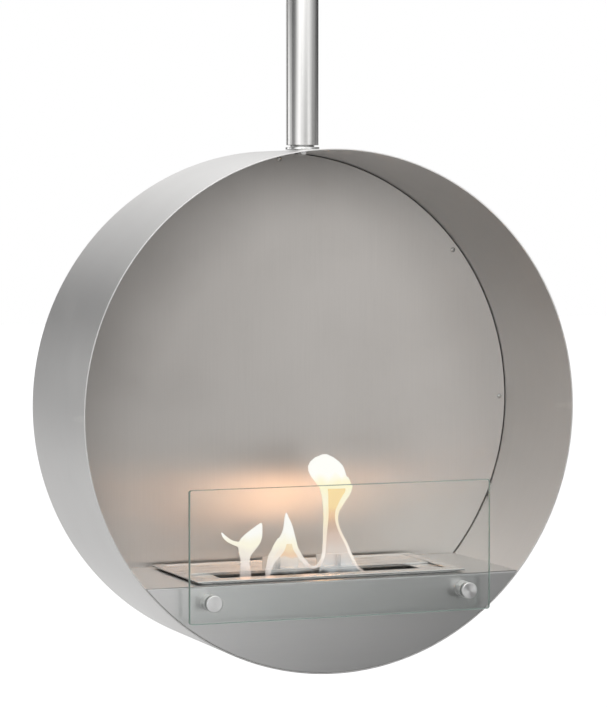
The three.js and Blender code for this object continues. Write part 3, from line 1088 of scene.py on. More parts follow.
@dataclass
class Suspension:
    """Ceiling rose, tube, washers and bolt, which stay still."""

    groups: Groups
    tube_radius: float = 19 * MM
    tube_wall: float = 2 * MM
    rose_radius: float = 57.5 * MM
    rose_corner: float = 6 * MM
    rose_wall: float = 1.5 * MM
    rose_neck_wall: float = 4 * MM
    flange_edge: float = 0.7 * MM
    neck_edge: float = 0.3 * MM
    bolt_across_flats: float = 10 * MM
    bolt_shank: float = 3 * MM
    bolt_chamfer: float = 0.9 * MM
    overshoot: float = 0.01 * MM
    origin: Vector = Vector((0.0, 0.0, 0.0))

    def tube(self) -> bpy.types.Object:
        """Makes the tube, with its ends eased.

        Returns:
            The tube.
        """
        low, high = (corner.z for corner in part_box("suspension_tube"))
        inner = self.tube_radius - self.tube_wall
        middle = (low + high) / 2
        profile = [
            (self.tube_radius, low),
            (self.tube_radius, middle),
            (self.tube_radius, high),
            (inner, high),
            (inner, middle),
            (inner, low),
        ]
        piece = turned("hanging_tube", profile, Axis.Z, self.origin, 128)
        return eased(piece, 0.4 * MM, 3)

    def rose(self) -> bpy.types.Object:
        """Makes the spun rose with its neck.

        Returns:
            The rose.
        """
        low, high = (corner.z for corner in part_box("ceiling_rose"))
        neck_inner = self.tube_radius + 0.3 * MM
        neck_outer = neck_inner + self.rose_neck_wall
        floor = low + 12 * MM
        corner = self.rose_corner
        profile = [(neck_inner, low), (neck_outer, low), (neck_outer, floor)]
        arcs = []
        for radius in (corner, corner - self.rose_wall):
            turns = [QUARTER_TURN * step / 10 - QUARTER_TURN for step in range(11)]
            out, up = self.rose_radius - corner, floor + corner
            arcs.append([(out + radius * math.cos(turn), up + radius * math.sin(turn)) for turn in turns])
        profile += arcs[0]
        profile += [(self.rose_radius, high), (self.rose_radius - self.rose_wall, high)]
        profile += reversed(arcs[1])
        profile.append((neck_inner, floor + self.rose_wall))
        piece = turned("spun_rose", profile, Axis.Z, self.origin, 160)
        screw_low, screw_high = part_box("rose_grub_screw")
        centre = (screw_low + screw_high) / 2
        hole = disc_tool(2.3 * MM, -4 * MM, 4 * MM, centre, Axis.Y, 24)
        combine(piece, hole, "DIFFERENCE")
        return eased(piece, 0.35 * MM, 2, 50)

    def washer(self, node: str, name: str, edge: float) -> bpy.types.Object:
        """Makes a washer round the bolt with rounded edges.

        Args:
            node: The CAD node that it stands for.
            name: The piece's name.
            edge: The radius of its outer edges.

        Returns:
            The washer.
        """
        low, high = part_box(node)
        bore = self.bolt_shank + 0.3 * MM
        profile = [(bore, low.z), (high.x, low.z), (high.x, high.z), (bore, high.z)]
        piece = turned(name, profile, Axis.Z, self.origin, 96)
        return eased(piece, edge, 3)

    def bolt(self) -> bpy.types.Object:
        """Makes the hexagon bolt, with its head chamfered and its shank.

        Returns:
            The bolt.
        """
        low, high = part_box("swivel_bolt")
        head_top = low.z + 4 * MM
        corner = self.bolt_across_flats / math.sqrt(3)
        chamfer = self.bolt_chamfer
        sides = [(0, low.z), (corner, low.z), (corner, head_top), (0, head_top)]
        head = turned("swivel_bolt_hex", sides, Axis.Z, self.origin, 6, closed=False)
        start, end = low.z - self.overshoot, head_top + self.overshoot
        edges = [(0, start), (corner - 2.2 * chamfer, start), (corner + 0.2 * chamfer, low.z + chamfer),
                 (corner + 1 * MM, end), (0, end)]
        cone = turned("tool", edges, Axis.Z, self.origin, 48, closed=False)
        combine(head, cone, "INTERSECT")
        soften_edges(head, 0.15 * MM, 2)
        shank = disc_tool(self.bolt_shank, head_top - 0.5 * MM, high.z, self.origin, Axis.Z, 32)
        clear_selection()
        shank.select_set(True)
        head.select_set(True)
        bpy.context.view_layer.objects.active = head
        bpy.ops.object.join()
        return smooth(head)

    def build(self) -> None:
        """Builds and dresses every piece of the suspension."""
        tube_steel = BrushedSteel(
            "tube_brushed", (0.80, 0.795, 0.785), (0.62, 0.61, 0.60), 0.20, Grain.UPRIGHT,
            relief=0.05, tone=0.3,
        ).build(self.groups)
        rose_steel = BrushedSteel(
            "rose_brushed", (0.74, 0.73, 0.715), (0.56, 0.55, 0.53), 0.28, Grain.LEVEL, relief=0.08
        ).build(self.groups)
        polished = PolishedSteel("swivel_polished", (0.86, 0.86, 0.85), 0.12).build(self.groups)
        neck = PolishedSteel("neck_turned", (0.55, 0.55, 0.54), 0.3).build(self.groups)
        zinc = CoatedMetal("zinc_plate", (0.62, 0.64, 0.66), (0.45, 0.46, 0.47), 0.4, 0.95).build(self.groups)
        hand_over(self.tube(), "suspension", "tube_steel", tube_steel, "suspension_tube")
        hand_over(self.rose(), "suspension", "tube_steel", rose_steel, "ceiling_rose")
        hand_over(
            self.washer("swivel_flange", "crown_washer", self.flange_edge),
            "suspension", "polished_steel", polished, "swivel_flange",
        )
        hand_over(
            self.washer("swivel_neck", "neck_washer", self.neck_edge),
            "suspension", "polished_steel", neck, "swivel_neck",
        )
        bolt_steel = PolishedSteel("bolt_satin", (0.93, 0.93, 0.92), 0.45).build(self.groups)
        hand_over(self.bolt(), "suspension", "polished_steel", bolt_steel, "swivel_bolt")
        for node in ("ceiling_plate", "rose_grub_screw", "tube_locking_screw", "tube_end_plug"):
            dress(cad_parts[node], zinc)
            log.info("%s keeps its CAD shape", node)


@dataclass
class Drum:
    """Rolled band, back panel with its screws, and the black ring behind it."""

    groups: Groups
    centre: Vector = DRUM_CENTRE
    radius: float = 300 * MM
    wall: float = 1.5 * MM
    screw_count: int = 7

    def band(self) -> bpy.types.Object:
        """Makes the rolled band with its rims eased.

        Returns:
            The band.
        """
        low, high = (corner.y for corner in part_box("drum_shell"))
        inner = self.radius - self.wall
        outside = [(self.radius, low + (high - low) * share / 4) for share in range(5)]
        inside = [(inner, high - (high - low) * share / 4) for share in range(5)]
        piece = turned("drum_band", outside + inside, Axis.Y, self.centre, 360)
        return eased(piece, 0.35 * MM, 3, 60)

    def panel(self) -> bpy.types.Object:
        """Makes the back panel, a disc with eased edges.

        Returns:
            The panel.
        """
        low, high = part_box("back_panel")
        radii = [high.x * share for share in (0.0, 0.3, 0.6, 0.9, 1.0)]
        front = [(radius, low.y) for radius in radii]
        back = [(radius, high.y) for radius in reversed(radii)]
        piece = turned("back_disc", front + back, Axis.Y, self.centre, 240, closed=False)
        return eased(piece, 0.3 * MM, 2, 60)

    def ring(self) -> bpy.types.Object:
        """Makes the angle ring that the panel is screwed to.

        Returns:
            The ring.
        """
        low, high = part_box("back_mounting_ring")
        outer = high.x
        inner = outer - 26 * MM
        leg = outer - self.wall
        flat = low.y + self.wall
        profile = [(inner, low.y), (inner, flat), (leg - 1 * MM, flat), (leg, flat + 1 * MM), (leg, high.y),
                   (outer, high.y), (outer, low.y + 1 * MM), (outer - 1 * MM, low.y)]
        piece = turned("angle_ring", profile, Axis.Y, self.centre, 240)
        return eased(piece, 0.25 * MM, 2, 60)

    def screws(self) -> list[bpy.types.Object]:
        """Makes one pan-head screw with a hexagon socket, and a copy for every hole.

        Returns:
            The screws, in the order of the CAD nodes.
        """
        low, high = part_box("back_panel_screw_1")
        centre = axis_of("back_panel_screw_1")
        head = 1.8 * MM
        profile = [(0.0, low.y)]
        for step in range(7):
            turn = math.radians(12 + 78 * step / 6)
            profile.append((3 * MM * math.sin(turn), low.y + head * (1 - math.cos(turn) ** 1.6) * 0.96))
        profile += [(3 * MM, low.y + head), (1.5 * MM, low.y + head), (1.5 * MM, high.y - 0.5 * MM),
                    (1.1 * MM, high.y), (0.0, high.y)]
        first = turned("panel_screw_1", profile, Axis.Y, centre, 40, closed=False)
        socket = disc_tool(1.25 * MM, low.y - 1 * MM, low.y + 1.1 * MM, centre, Axis.Y, 6)
        combine(first, socket, "DIFFERENCE")
        smooth(first)
        made = [first]
        for number in range(2, self.screw_count + 1):
            place = axis_of(f"back_panel_screw_{number}")
            made.append(copied(first, f"panel_screw_{number}", place - centre))
        return made

    def build(self) -> None:
        """Builds and dresses every piece of the drum."""
        around = BrushedSteel(
            "drum_brushed", (0.75, 0.742, 0.733), (0.615, 0.608, 0.60), 0.36, Grain.AROUND_DRUM,
            tuple(self.centre), relief=0.05,
        ).build(self.groups)
        upright = BrushedSteel(
            "panel_brushed", (0.80, 0.765, 0.73), (0.665, 0.63, 0.60), 0.44, Grain.UPRIGHT,
            tuple(self.centre), relief=0.02, anisotropy=0.96,
            # Painted shade: darkens the panel's colour by up to 38% towards its top left, standing in for the
            # shade under the drum's wall.
            painted_shades=(Shade((0.09, 0.08, -0.80), (0.29, 0.42), (0.0, 0.38), (1.1, 1.0, 0.95)),),
        ).build(self.groups)
        # The ring's near-black colour is its blackened finish, and also paints the shade in the gap round the
        # panel's edge.
        black = CoatedMetal(
            "blackened_ring", (0.018, 0.017, 0.016), (0.035, 0.033, 0.03), 0.6, 0.3
        ).build(self.groups)
        # Painted shade: the screws' steel is darker than the panel's, standing in for the shade on the
        # screws.
        screw_steel = PolishedSteel("screw_steel", (0.5, 0.5, 0.49), 0.3).build(self.groups)
        hand_over(self.band(), "drum", "drum_steel", around, "drum_shell")
        hand_over(self.panel(), "drum", "panel_steel", upright, "back_panel")
        hand_over(self.ring(), "drum", "blackened_steel", black, "back_mounting_ring")
        for number, screw in enumerate(self.screws(), 1):
            hand_over(screw, "drum", "zinc_steel", screw_steel, f"back_panel_screw_{number}")


@dataclass
class Hearth:
    """Sheet that is folded into fascia, shelf and rear lip, with its brackets."""

    groups: Groups
    drum_centre: Vector = DRUM_CENTRE
    half_width: float = 300 * MM
    trim_radius: float = 298 * MM
    thickness: float = 1.5 * MM
    bend: float = 2.5 * MM
    lip: float = 15.5 * MM
    cutout_gap: float = 1.5 * MM
    cutout_corner: float = 9.5 * MM
    stud_hole: float = 3.3 * MM

    def sheet(self) -> bpy.types.Object:
        """Folds the sheet, trims it to the drum, and cuts the burner's and the studs' holes.

        Returns:
            The sheet.
        """
        low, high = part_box("hearth_sheet")
        half = self.half_width
        corners = [
            Vector((-half, low.y, self.drum_centre.z - half)),
            Vector((-half, low.y, high.z)),
            Vector((-half, high.y, high.z)),
            Vector((-half, high.y, high.z - self.lip)),
        ]
        piece = start_piece("folded_hearth", corners[0])
        draw_line(piece, corners)
        with editing(piece, everything=True):
            bpy.ops.mesh.extrude_region_move(TRANSFORM_OT_translate={"value": (2 * half, 0, 0)})
            bpy.ops.mesh.select_all(action="SELECT")
            bpy.ops.mesh.normals_make_consistent(inside=False)
        fascia = min(piece.data.polygons, key=lambda face: face.center.y)
        if fascia.normal.y > 0:
            with editing(piece, everything=True):
                bpy.ops.mesh.flip_normals()
        apply_modifier(piece, "BEVEL", width=self.bend, segments=6, limit_method="ANGLE",
                       angle_limit=math.radians(40), offset_type="OFFSET")
        apply_modifier(piece, "SOLIDIFY", thickness=self.thickness, offset=-1.0, use_even_offset=True)
        curve = disc_tool(self.trim_radius, low.y - 5 * MM, high.y + 5 * MM, self.drum_centre, Axis.Y, 360)
        combine(piece, curve, "INTERSECT")
        tank_low, tank_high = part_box("burner_tank")
        gap = self.cutout_gap
        hole = block("tool", (tank_low.x - gap, tank_low.y - gap, high.z - 8 * MM),
                     (tank_high.x + gap, tank_high.y + gap, high.z + 2 * MM))
        bevel_upright_edges(hole, Axis.Z, self.cutout_corner)
        combine(piece, hole, "DIFFERENCE")
        for side in SIDES:
            cap_low, cap_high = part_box(f"standoff_cap_{side}")
            centre = (cap_low + cap_high) / 2
            centre.y = low.y
            combine(piece, disc_tool(self.stud_hole, -3 * MM, 3 * MM, centre, Axis.Y, 32), "DIFFERENCE")
        return smooth(piece)

    def build(self) -> None:
        """Builds and dresses the hearth."""
        low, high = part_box("hearth_sheet")
        # Painted light: the sheet's colour is raised so that the shelf reads as brightly lit; the fascia is
        # darkened back below.
        level = BrushedSteel(
            "hearth_brushed", (0.86, 0.86, 0.86), (0.72, 0.72, 0.72), 0.34, Grain.LEVEL,
            tuple(self.drum_centre), relief=0.05,
            painted_shades=(
                # Painted shade: darker towards the right end, by up to 17%.
                Shade((low.x, 0.0, 0.0), (0.08, 0.5), (0.0, 0.17), (1.0, 0.0, 0.0)),
                # Painted shade: a band about 3 mm wide along the front fold, darker by up to 42%, damping the
                # fold's highlight.
                Shade((0.0, low.y, high.z), (0.0012, 0.0032), (0.42, 0.0), (0.0, 1.0, 1.0)),
                # Painted shade: the fascia darker by 15% than the shelf.
                Shade((0.0, low.y, 0.0), (0.0015, 0.0035), (0.15, 0.0), (0.0, 1.0, 0.0)),
            ),
        ).build(self.groups)
        hand_over(self.sheet(), "drum", "hearth_steel", level, "hearth_sheet")
        for side in SIDES:
            dress(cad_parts[f"hearth_bracket_{side}"], level)
            log.info("hearth_bracket_%s keeps its CAD shape", side)


@dataclass
class Screen:
    """Glass pane on two stand-offs."""

    groups: Groups
    pane_corner: float = 3 * MM
    pane_edge: float = 0.7 * MM
    pane_hole: float = 4 * MM
    rod_radius: float = 9.5 * MM
    rod_bore: float = 3.3 * MM
    stud_radius: float = 3 * MM
    cap_thickness: float = 3.5 * MM
    cap_edge: float = 0.8 * MM
    cap_rings: int = 18
    cap_ring_depth: float = 0.035 * MM

    def pane(self) -> bpy.types.Object:
        """Makes the pane with polished edges and a hole for each stud.

        Returns:
            The pane.
        """
        low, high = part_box("glass_screen")
        piece = block("glass_pane", low, high)
        bevel_upright_edges(piece, Axis.Y, self.pane_corner)
        soften_edges(piece, self.pane_edge, 2, 60)
        for side in SIDES:
            axis = axis_of(f"standoff_barrel_{side}")
            tool = disc_tool(self.pane_hole, low.y - 2 * MM, high.y + 2 * MM, axis, Axis.Y, 32)
            combine(piece, tool, "DIFFERENCE")
        return smooth(piece)

    def barrel(self, side: str) -> bpy.types.Object:
        """Makes the barrel between fascia and glass.

        Args:
            side: left or right.

        Returns:
            The barrel.
        """
        low, high = (corner.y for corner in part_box(f"standoff_barrel_{side}"))
        radius, bore = self.rod_radius, self.rod_bore
        profile = [(radius, low), (radius, high), (bore, high), (bore, low)]
        piece = turned(f"barrel_{side}", profile, Axis.Y, axis_of(f"standoff_barrel_{side}"), 72)
        return eased(piece, 0.6 * MM, 3)

    def cap(self, side: str) -> bpy.types.Object:
        """Makes the round cap with its stud.

        Args:
            side: left or right.

        Returns:
            The cap.
        """
        low, high = (corner.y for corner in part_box(f"standoff_cap_{side}"))
        back = low + self.cap_thickness
        edge = self.cap_edge
        radius = self.rod_radius
        flat = radius - edge
        profile = [(0.0, low)]
        for ring in range(1, 2 * self.cap_rings):
            profile.append((flat * ring / (2 * self.cap_rings), low + (ring % 2) * self.cap_ring_depth))
        profile.append((flat, low))
        for step in range(1, 5):
            turn = QUARTER_TURN * step / 4
            profile.append((radius - edge + edge * math.sin(turn), low + edge - edge * math.cos(turn)))
        profile += [(radius, back - 0.2 * MM), (radius - 0.2 * MM, back), (self.stud_radius, back),
                    (self.stud_radius, high - 0.4 * MM), (self.stud_radius - 0.4 * MM, high), (0.0, high)]
        piece = turned(f"cap_{side}", profile, Axis.Y, axis_of(f"standoff_barrel_{side}"), 96, closed=False)
        return smooth(piece)

    def gasket(self, node: str, side: str) -> bpy.types.Object:
        """Makes a rubber washer.

        Args:
            node: The CAD node that it stands for.
            side: left or right.

        Returns:
            The washer.
        """
        low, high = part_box(node)
        profile = [(8 * MM, low.y), (8 * MM, high.y), (self.rod_bore, high.y), (self.rod_bore, low.y)]
        name = node.replace("standoff_", "") + "_washer"
        piece = turned(name, profile, Axis.Y, axis_of(f"standoff_barrel_{side}"), 48)
        return eased(piece, 0.2 * MM, 2)

    def build(self) -> None:
        """Builds and dresses the screen."""
        clear = ToughenedGlass("clear_glass", (0.97, 0.985, 0.98), 0.0, 1.0).build(self.groups)
        edge = ToughenedGlass("glass_edge", (0.42, 0.56, 0.50), 0.22, 0.55).build(self.groups)
        rubber = Rubber().build(self.groups)
        zinc = CoatedMetal("nut_zinc", (0.60, 0.61, 0.62), (0.44, 0.45, 0.46), 0.35, 0.95).build(self.groups)
        pane = hand_over(self.pane(), "drum", "screen_glass", clear, "glass_screen")
        pane.data.materials.append(edge)
        for face in pane.data.polygons:
            face.material_index = 0 if abs(face.normal.y) > STRAIGHT else 1
        for side in SIDES:
            axis = tuple(axis_of(f"standoff_barrel_{side}"))
            barrel_steel = PolishedSteel(
                f"barrel_turned_{side}", (0.93, 0.93, 0.92), 0.36, axis
            ).build(self.groups)
            cap_steel = PolishedSteel(
                f"cap_turned_{side}", (0.92, 0.92, 0.91), 0.3, axis, rings=0.2, anisotropy=0.95
            ).build(self.groups)
            hand_over(self.barrel(side), "drum", "polished_steel", barrel_steel, f"standoff_barrel_{side}")
            hand_over(self.cap(side), "drum", "polished_steel", cap_steel, f"standoff_cap_{side}")
            for place in ("front", "rear"):
                node = f"standoff_{place}_gasket_{side}"
                hand_over(self.gasket(node, side), "drum", "gasket", rubber, node)
            dress(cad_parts[f"standoff_nut_{side}"], zinc)


@dataclass
class Burner:
    """Drop-in burner: frame, slotted deck, tank and fibre."""

    groups: Groups
    frame_side: float = 13 * MM
    frame_front: float = 21 * MM
    frame_rear: float = 9.5 * MM
    slot_half: float = 124 * MM
    slot_front: float = -60 * MM
    slot_back: float = -24 * MM
    tank_corner: float = 8 * MM
    tank_wall: float = 1.5 * MM
    edge: float = 0.25 * MM

    def plate_with_window(
        self, name: str, node: str, window: tuple[float, float, float, float], corner: float
    ) -> bpy.types.Object:
        """Makes a flat plate with a rectangular window.

        Args:
            name: The piece's name.
            node: The CAD node that it stands for.
            window: The window's left, right, front and back sides.
            corner: The radius of the window's corners.

        Returns:
            The plate.
        """
        low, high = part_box(node)
        piece = block(name, low, high)
        left, right, front, back = window
        tool = block("tool", (left, front, low.z - 2 * MM), (right, back, high.z + 2 * MM))
        bevel_upright_edges(tool, Axis.Z, corner, 4)
        combine(piece, tool, "DIFFERENCE")
        return eased(piece, self.edge, 2)

    def tank(self) -> bpy.types.Object:
        """Makes the open tank by pressing down the top of a rounded block.

        Returns:
            The tank.
        """
        low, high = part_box("burner_tank")
        piece = block("fuel_tank", low, high)
        bevel_upright_edges(piece, Axis.Z, self.tank_corner, 6)
        with editing(piece):
            bpy.ops.object.mode_set(mode="OBJECT")
            for face in piece.data.polygons:
                face.select = face.normal.z > 0.9
            bpy.ops.object.mode_set(mode="EDIT")
            bpy.ops.mesh.select_mode(type="FACE")
            bpy.ops.mesh.inset(thickness=self.tank_wall)
            depth = low.z + self.tank_wall - high.z
            bpy.ops.mesh.extrude_region_move(TRANSFORM_OT_translate={"value": (0, 0, depth)})
            bpy.ops.mesh.select_mode(type="VERT")
        return eased(piece, 0.4 * MM, 2, 50)

    def fibre(self) -> bpy.types.Object:
        """Makes the fibre block, with rounded corners and a finely divided mesh.

        Returns:
            The block.
        """
        low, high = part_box("fibre_block")
        piece = block("fibre_mat", low, high)
        bevel_upright_edges(piece, Axis.Z, 6 * MM, 4)
        with editing(piece, everything=True):
            bpy.ops.mesh.quads_convert_to_tris()
            bpy.ops.mesh.subdivide(number_cuts=5)
        return eased(piece, 0.6 * MM, 2, 50)

    def build(self) -> None:
        """Builds and dresses the burner."""
        level = BrushedSteel(
            "burner_brushed", (0.85, 0.84, 0.83), (0.69, 0.68, 0.67), 0.27, Grain.LEVEL, relief=0.08
        ).build(self.groups)
        tank_steel = CoatedMetal(
            "tank_pressed", (0.74, 0.73, 0.72), (0.58, 0.57, 0.56), 0.5, 0.95, 120
        ).build(self.groups)
        fibre = CeramicFibre().build(self.groups)
        low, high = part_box("burner_frame")
        frame_steel_painted_shadow = BrushedSteel(
            "frame_brushed", (0.85, 0.84, 0.83), (0.69, 0.68, 0.67), 0.27, Grain.LEVEL, relief=0.05,
            # Painted shadow: the frame's sides are darkened by up to 80% from 0.9 mm below their top edge,
            # standing in for the shadow gap under the frame.
            painted_shades=(Shade((0.0, 0.0, high.z), (0.0009, 0.0015), (0.0, 0.8), (0.0, 0.0, 1.0)),),
        ).build(self.groups)
        window = (low.x + self.frame_side, high.x - self.frame_side,
                  low.y + self.frame_front, high.y - self.frame_rear)
        hand_over(
            self.plate_with_window("window_frame", "burner_frame", window, 0.8 * MM),
            "burner", "burner_steel", frame_steel_painted_shadow, "burner_frame",
        )
        slot = (-self.slot_half, self.slot_half, self.slot_front, self.slot_back)
        hand_over(
            self.plate_with_window("slotted_deck", "burner_deck", slot, 1.5 * MM),
            "burner", "burner_steel", level, "burner_deck",
        )
        hand_over(self.tank(), "burner", "tank_steel", tank_steel, "burner_tank")
        hand_over(self.fibre(), "burner", "ceramic_wool", fibre, "fibre_block")


@dataclass
class Lid:
    """Sliding lid with its posts and upright tabs."""

    groups: Groups
    post_radius: float = 3 * MM
    post_crown: float = 0.9 * MM

    def plate(self) -> bpy.types.Object:
        """Makes the lid's plate.

        Returns:
            The plate.
        """
        piece = block("lid_plate", *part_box("burner_lid"))
        return eased(piece, 0.25 * MM)

    def tab(self, side: str) -> bpy.types.Object:
        """Makes an upright tab.

        Args:
            side: left or right.

        Returns:
            The tab.
        """
        piece = block(f"lid_tab_{side}", *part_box(f"lid_grip_{side}"))
        bevel_upright_edges(piece, Axis.Y, 1 * MM, 4)
        return eased(piece, 0.25 * MM)

    def post(self, side: str) -> bpy.types.Object:
        """Makes a polished post with a domed end.

        Args:
            side: left or right.

        Returns:
            The post.
        """
        low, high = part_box(f"lid_post_{side}")
        axis = Vector(((low.x + high.x) / 2, (low.y + high.y) / 2, 0.0))
        profile = [(0.0, low.z), (self.post_radius, low.z), (self.post_radius, high.z - self.post_crown)]
        for step in range(1, 6):
            turn = QUARTER_TURN * step / 5
            drop = self.post_crown * (1 - math.sin(turn))
            profile.append((self.post_radius * math.cos(turn), high.z - drop))
        piece = turned(f"post_{side}", profile, Axis.Z, axis, 40, closed=False)
        return smooth(piece)

    def build(self) -> None:
        """Builds and dresses the lid."""
        level = BrushedSteel(
            "lid_brushed", (0.85, 0.84, 0.83), (0.69, 0.68, 0.67), 0.27, Grain.LEVEL,
            (0.013, 0.007, 0.003), relief=0.08,
        ).build(self.groups)
        polished = PolishedSteel("post_polished", (0.42, 0.36, 0.34), 0.12).build(self.groups)
        # Painted light: the tabs' steel is lighter than the lid's, standing in for the flames' light on them.
        tab_steel_flame_lit = BrushedSteel(
            "tab_satin_flame_lit", (0.92, 0.92, 0.92), (0.80, 0.80, 0.80), 0.5, Grain.LEVEL,
            (0.0, 0.004, 0.009), relief=0.04,
        ).build(self.groups)
        hand_over(self.plate(), "lid", "burner_steel", level, "burner_lid")
        for side in SIDES:
            hand_over(self.tab(side), "lid", "burner_steel", tab_steel_flame_lit, f"lid_grip_{side}")
            hand_over(self.post(side), "lid", "polished_steel", polished, f"lid_post_{side}")


@dataclass
class Fire:
    """The flames, which stand in the slot.

    All numbers of a flame are in millimetres. A tongue is a line of (x, z, radius), and a leaf or a veil is a
    row of (left x, left z, right x, right z) rungs from the top down.
    """

    groups: Groups
    depth: float = -42 * MM
    flatness: float = 0.5
    grain: float = 0.6 * MM
    facets: int = 20
    snuffed_height: float = -0.8932
    snuffed_share: float = 0.02
    tall_glow: tuple[float, float, float, float] = (-0.858, -0.842, -0.818, -0.790)
    left_leaf: Rungs = (
        (-69, -830.5, -67, -830.5), (-75.5, -834.5, -66.5, -835), (-81.5, -838.5, -66.5, -839),
        (-87.5, -842.5, -66.5, -843.5), (-92.5, -847, -67, -848), (-95.5, -851.5, -68.5, -853),
        (-96, -856, -71.5, -857.5), (-95.5, -861, -75.5, -862), (-95, -865, -79, -865.5),
        (-93.5, -869, -81.5, -869.5), (-93, -876, -82.5, -876.5), (-93.5, -883, -81.5, -883.5),
        (-94.5, -892.5, -80, -893),
    )
    left_tail: Line = (
        (-86, -855.5, 5), (-91, -855, 3.75), (-98, -853.5, 2.75), (-104.5, -851, 2.25), (-110, -847.5, 2.25),
        (-114, -843.5, 1.75), (-116.5, -839.5, 0.75),
    )
    middle_leaf: Rungs = (
        (-37.5, -819.5, -36.5, -819.5), (-39, -825, -34, -825), (-39.5, -831, -31, -831),
        (-40.5, -837.5, -28.5, -838),
        (-42.5, -843.5, -27, -844), (-46, -849, -25.5, -850), (-49, -855, -24, -856),
    )
    middle_legs: tuple[Line, Line] = (
        ((-41.5, -851.5, 6.5), (-46, -860.5, 7.5), (-50, -866.5, 6.5), (-54, -872, 5.75), (-57, -879, 4.25),
         (-59, -885.5, 3.5), (-60, -893, 3)),
        ((-29, -850, 3.5), (-27, -855.5, 3.25), (-25.5, -861.5, 3.25), (-22, -867.5, 3), (-18, -873.5, 2.75),
         (-12.5, -879.5, 2.5), (-7.5, -884, 2), (-1.5, -885, 1.75), (2.5, -883, 2)),
    )
    tall_leaf: Rungs = (
        (8.5, -754, 14.5, -753.5), (-1, -758, 22.5, -757), (-6.5, -762.5, 29, -762), (-9, -767.5, 34, -767),
        (-8.5, -772.5, 36.5, -773), (-5.5, -778.5, 38.5, -779.5), (-1, -784, 41.5, -785),
        (2.5, -788.5, 45, -789.5),
        (5, -793, 46, -793.5),
    )
    tall_legs: tuple[Line, Line] = (
        ((8.5, -781.5, 4.5), (9.5, -792, 5), (11, -800, 4.25), (12, -812, 3.5), (12.5, -826, 3.25),
         (11.5, -842, 2.75),
         (10.5, -859.5, 2.25), (9, -872.5, 2.25), (6, -879.5, 2.25), (2, -884, 2)),
        ((37, -782.5, 4.5), (41, -793, 4.5), (40, -799, 3.75), (35.5, -805.5, 3.5), (30.5, -813.5, 3),
         (26.5, -821.5, 2.5), (26, -831, 2), (28.5, -840.5, 1.75), (33, -850, 1.75), (39, -861, 1.75),
         (43, -870.5, 1.75), (48, -880, 1.75), (54, -888.5, 1.5), (60, -893, 1.5)),
    )
    middle_veil: Rungs = (
        (-44, -852.5, -26.5, -853.5), (-45, -861, -26, -861.5), (-49, -866.5, -23, -867.5),
        (-52.5, -872, -18.5, -873.5), (-56.5, -879, -12.5, -881), (-59, -890.5, -1.5, -892),
    )
    tall_veil: Rungs = (
        (9.5, -788.5, 39.5, -789.5), (12, -798, 39, -799), (12.5, -812, 31, -813.5),
        (12.5, -826, 26.5, -826.5),
        (12, -842, 29, -841.5), (11, -859.5, 38.5, -861), (9.5, -872.5, 44, -874), (6, -883, 51, -885),
        (3.5, -892.5, 58, -893),
    )

    def leaf(self, rungs: Sequence[tuple[float, float, float, float]]) -> bpy.types.Object:
        """Makes a full body of flame by extruding an oval down its rungs.

        Args:
            rungs: Its rungs.

        Returns:
            The leaf, around depth 0.
        """
        spans = []
        for left_x, left_z, right_x, right_z in rungs:
            middle = Vector(((left_x + right_x) / 2, 0, (left_z + right_z) / 2)) * MM
            spans.append((middle, (right_x - left_x) / 2 * MM))
        clear_selection()
        middle, half = spans[0]
        bpy.ops.mesh.primitive_circle_add(
            vertices=self.facets, radius=half, fill_type="NGON", location=middle
        )
        piece = bpy.context.active_object
        bpy.ops.object.transform_apply(location=True, rotation=True, scale=True)
        with editing(piece, everything=True):
            for next_middle, next_half in spans[1:]:
                bpy.ops.mesh.extrude_region_move(TRANSFORM_OT_translate={"value": next_middle - middle})
                growth = next_half / half
                bpy.ops.transform.resize(value=(growth, growth, 1), center_override=next_middle)
                middle, half = next_middle, next_half
        settle(piece)
        return piece

    def tongue(self, points: Sequence[tuple[float, float, float]]) -> bpy.types.Object:
        """Makes one tapering tongue.

        Args:
            points: Its line.

        Returns:
            The tongue as a mesh, around depth 0.
        """
        clear_selection()
        bpy.ops.curve.primitive_bezier_curve_add(location=(0, 0, 0))
        piece = bpy.context.active_object
        curve = piece.data
        curve.dimensions = "3D"
        curve.splines.clear()
        spline = curve.splines.new("BEZIER")
        spline.bezier_points.add(len(points) - 1)
        for point, (across, height, radius) in zip(spline.bezier_points, points):
            point.co = (across * MM, 0.0, height * MM)
            point.handle_left_type = point.handle_right_type = "AUTO"
            point.radius = radius
        spline.radius_interpolation = "CARDINAL"
        spline.resolution_u = 10
        curve.bevel_depth = MM
        curve.bevel_resolution = 6
        curve.use_fill_caps = True
        pick(piece)
        bpy.ops.object.convert(target="MESH")
        return bpy.context.active_object

    def flame(self, name: str, parts: Sequence[bpy.types.Object]) -> bpy.types.Object:
        """Melts leaves and tongues into one flame and flattens it into the slot.

        Args:
            name: The flame's name.
            parts: Its leaves and tongues.

        Returns:
            The flame.
        """
        clear_selection()
        for part in parts:
            part.select_set(True)
        piece = parts[0]
        bpy.context.view_layer.objects.active = piece
        if len(parts) > 1:
            bpy.ops.object.join()
        piece.name = piece.data.name = name
        apply_modifier(piece, "REMESH", mode="VOXEL", voxel_size=self.grain)
        apply_modifier(piece, "SMOOTH", factor=0.5, iterations=5)
        with editing(piece, everything=True):
            bpy.ops.transform.resize(value=(1, self.flatness, 1), center_override=(0, 0, 0))
            bpy.ops.transform.translate(value=(0, self.depth, 0))
        pick(piece)
        bpy.ops.object.shade_smooth()
        return piece

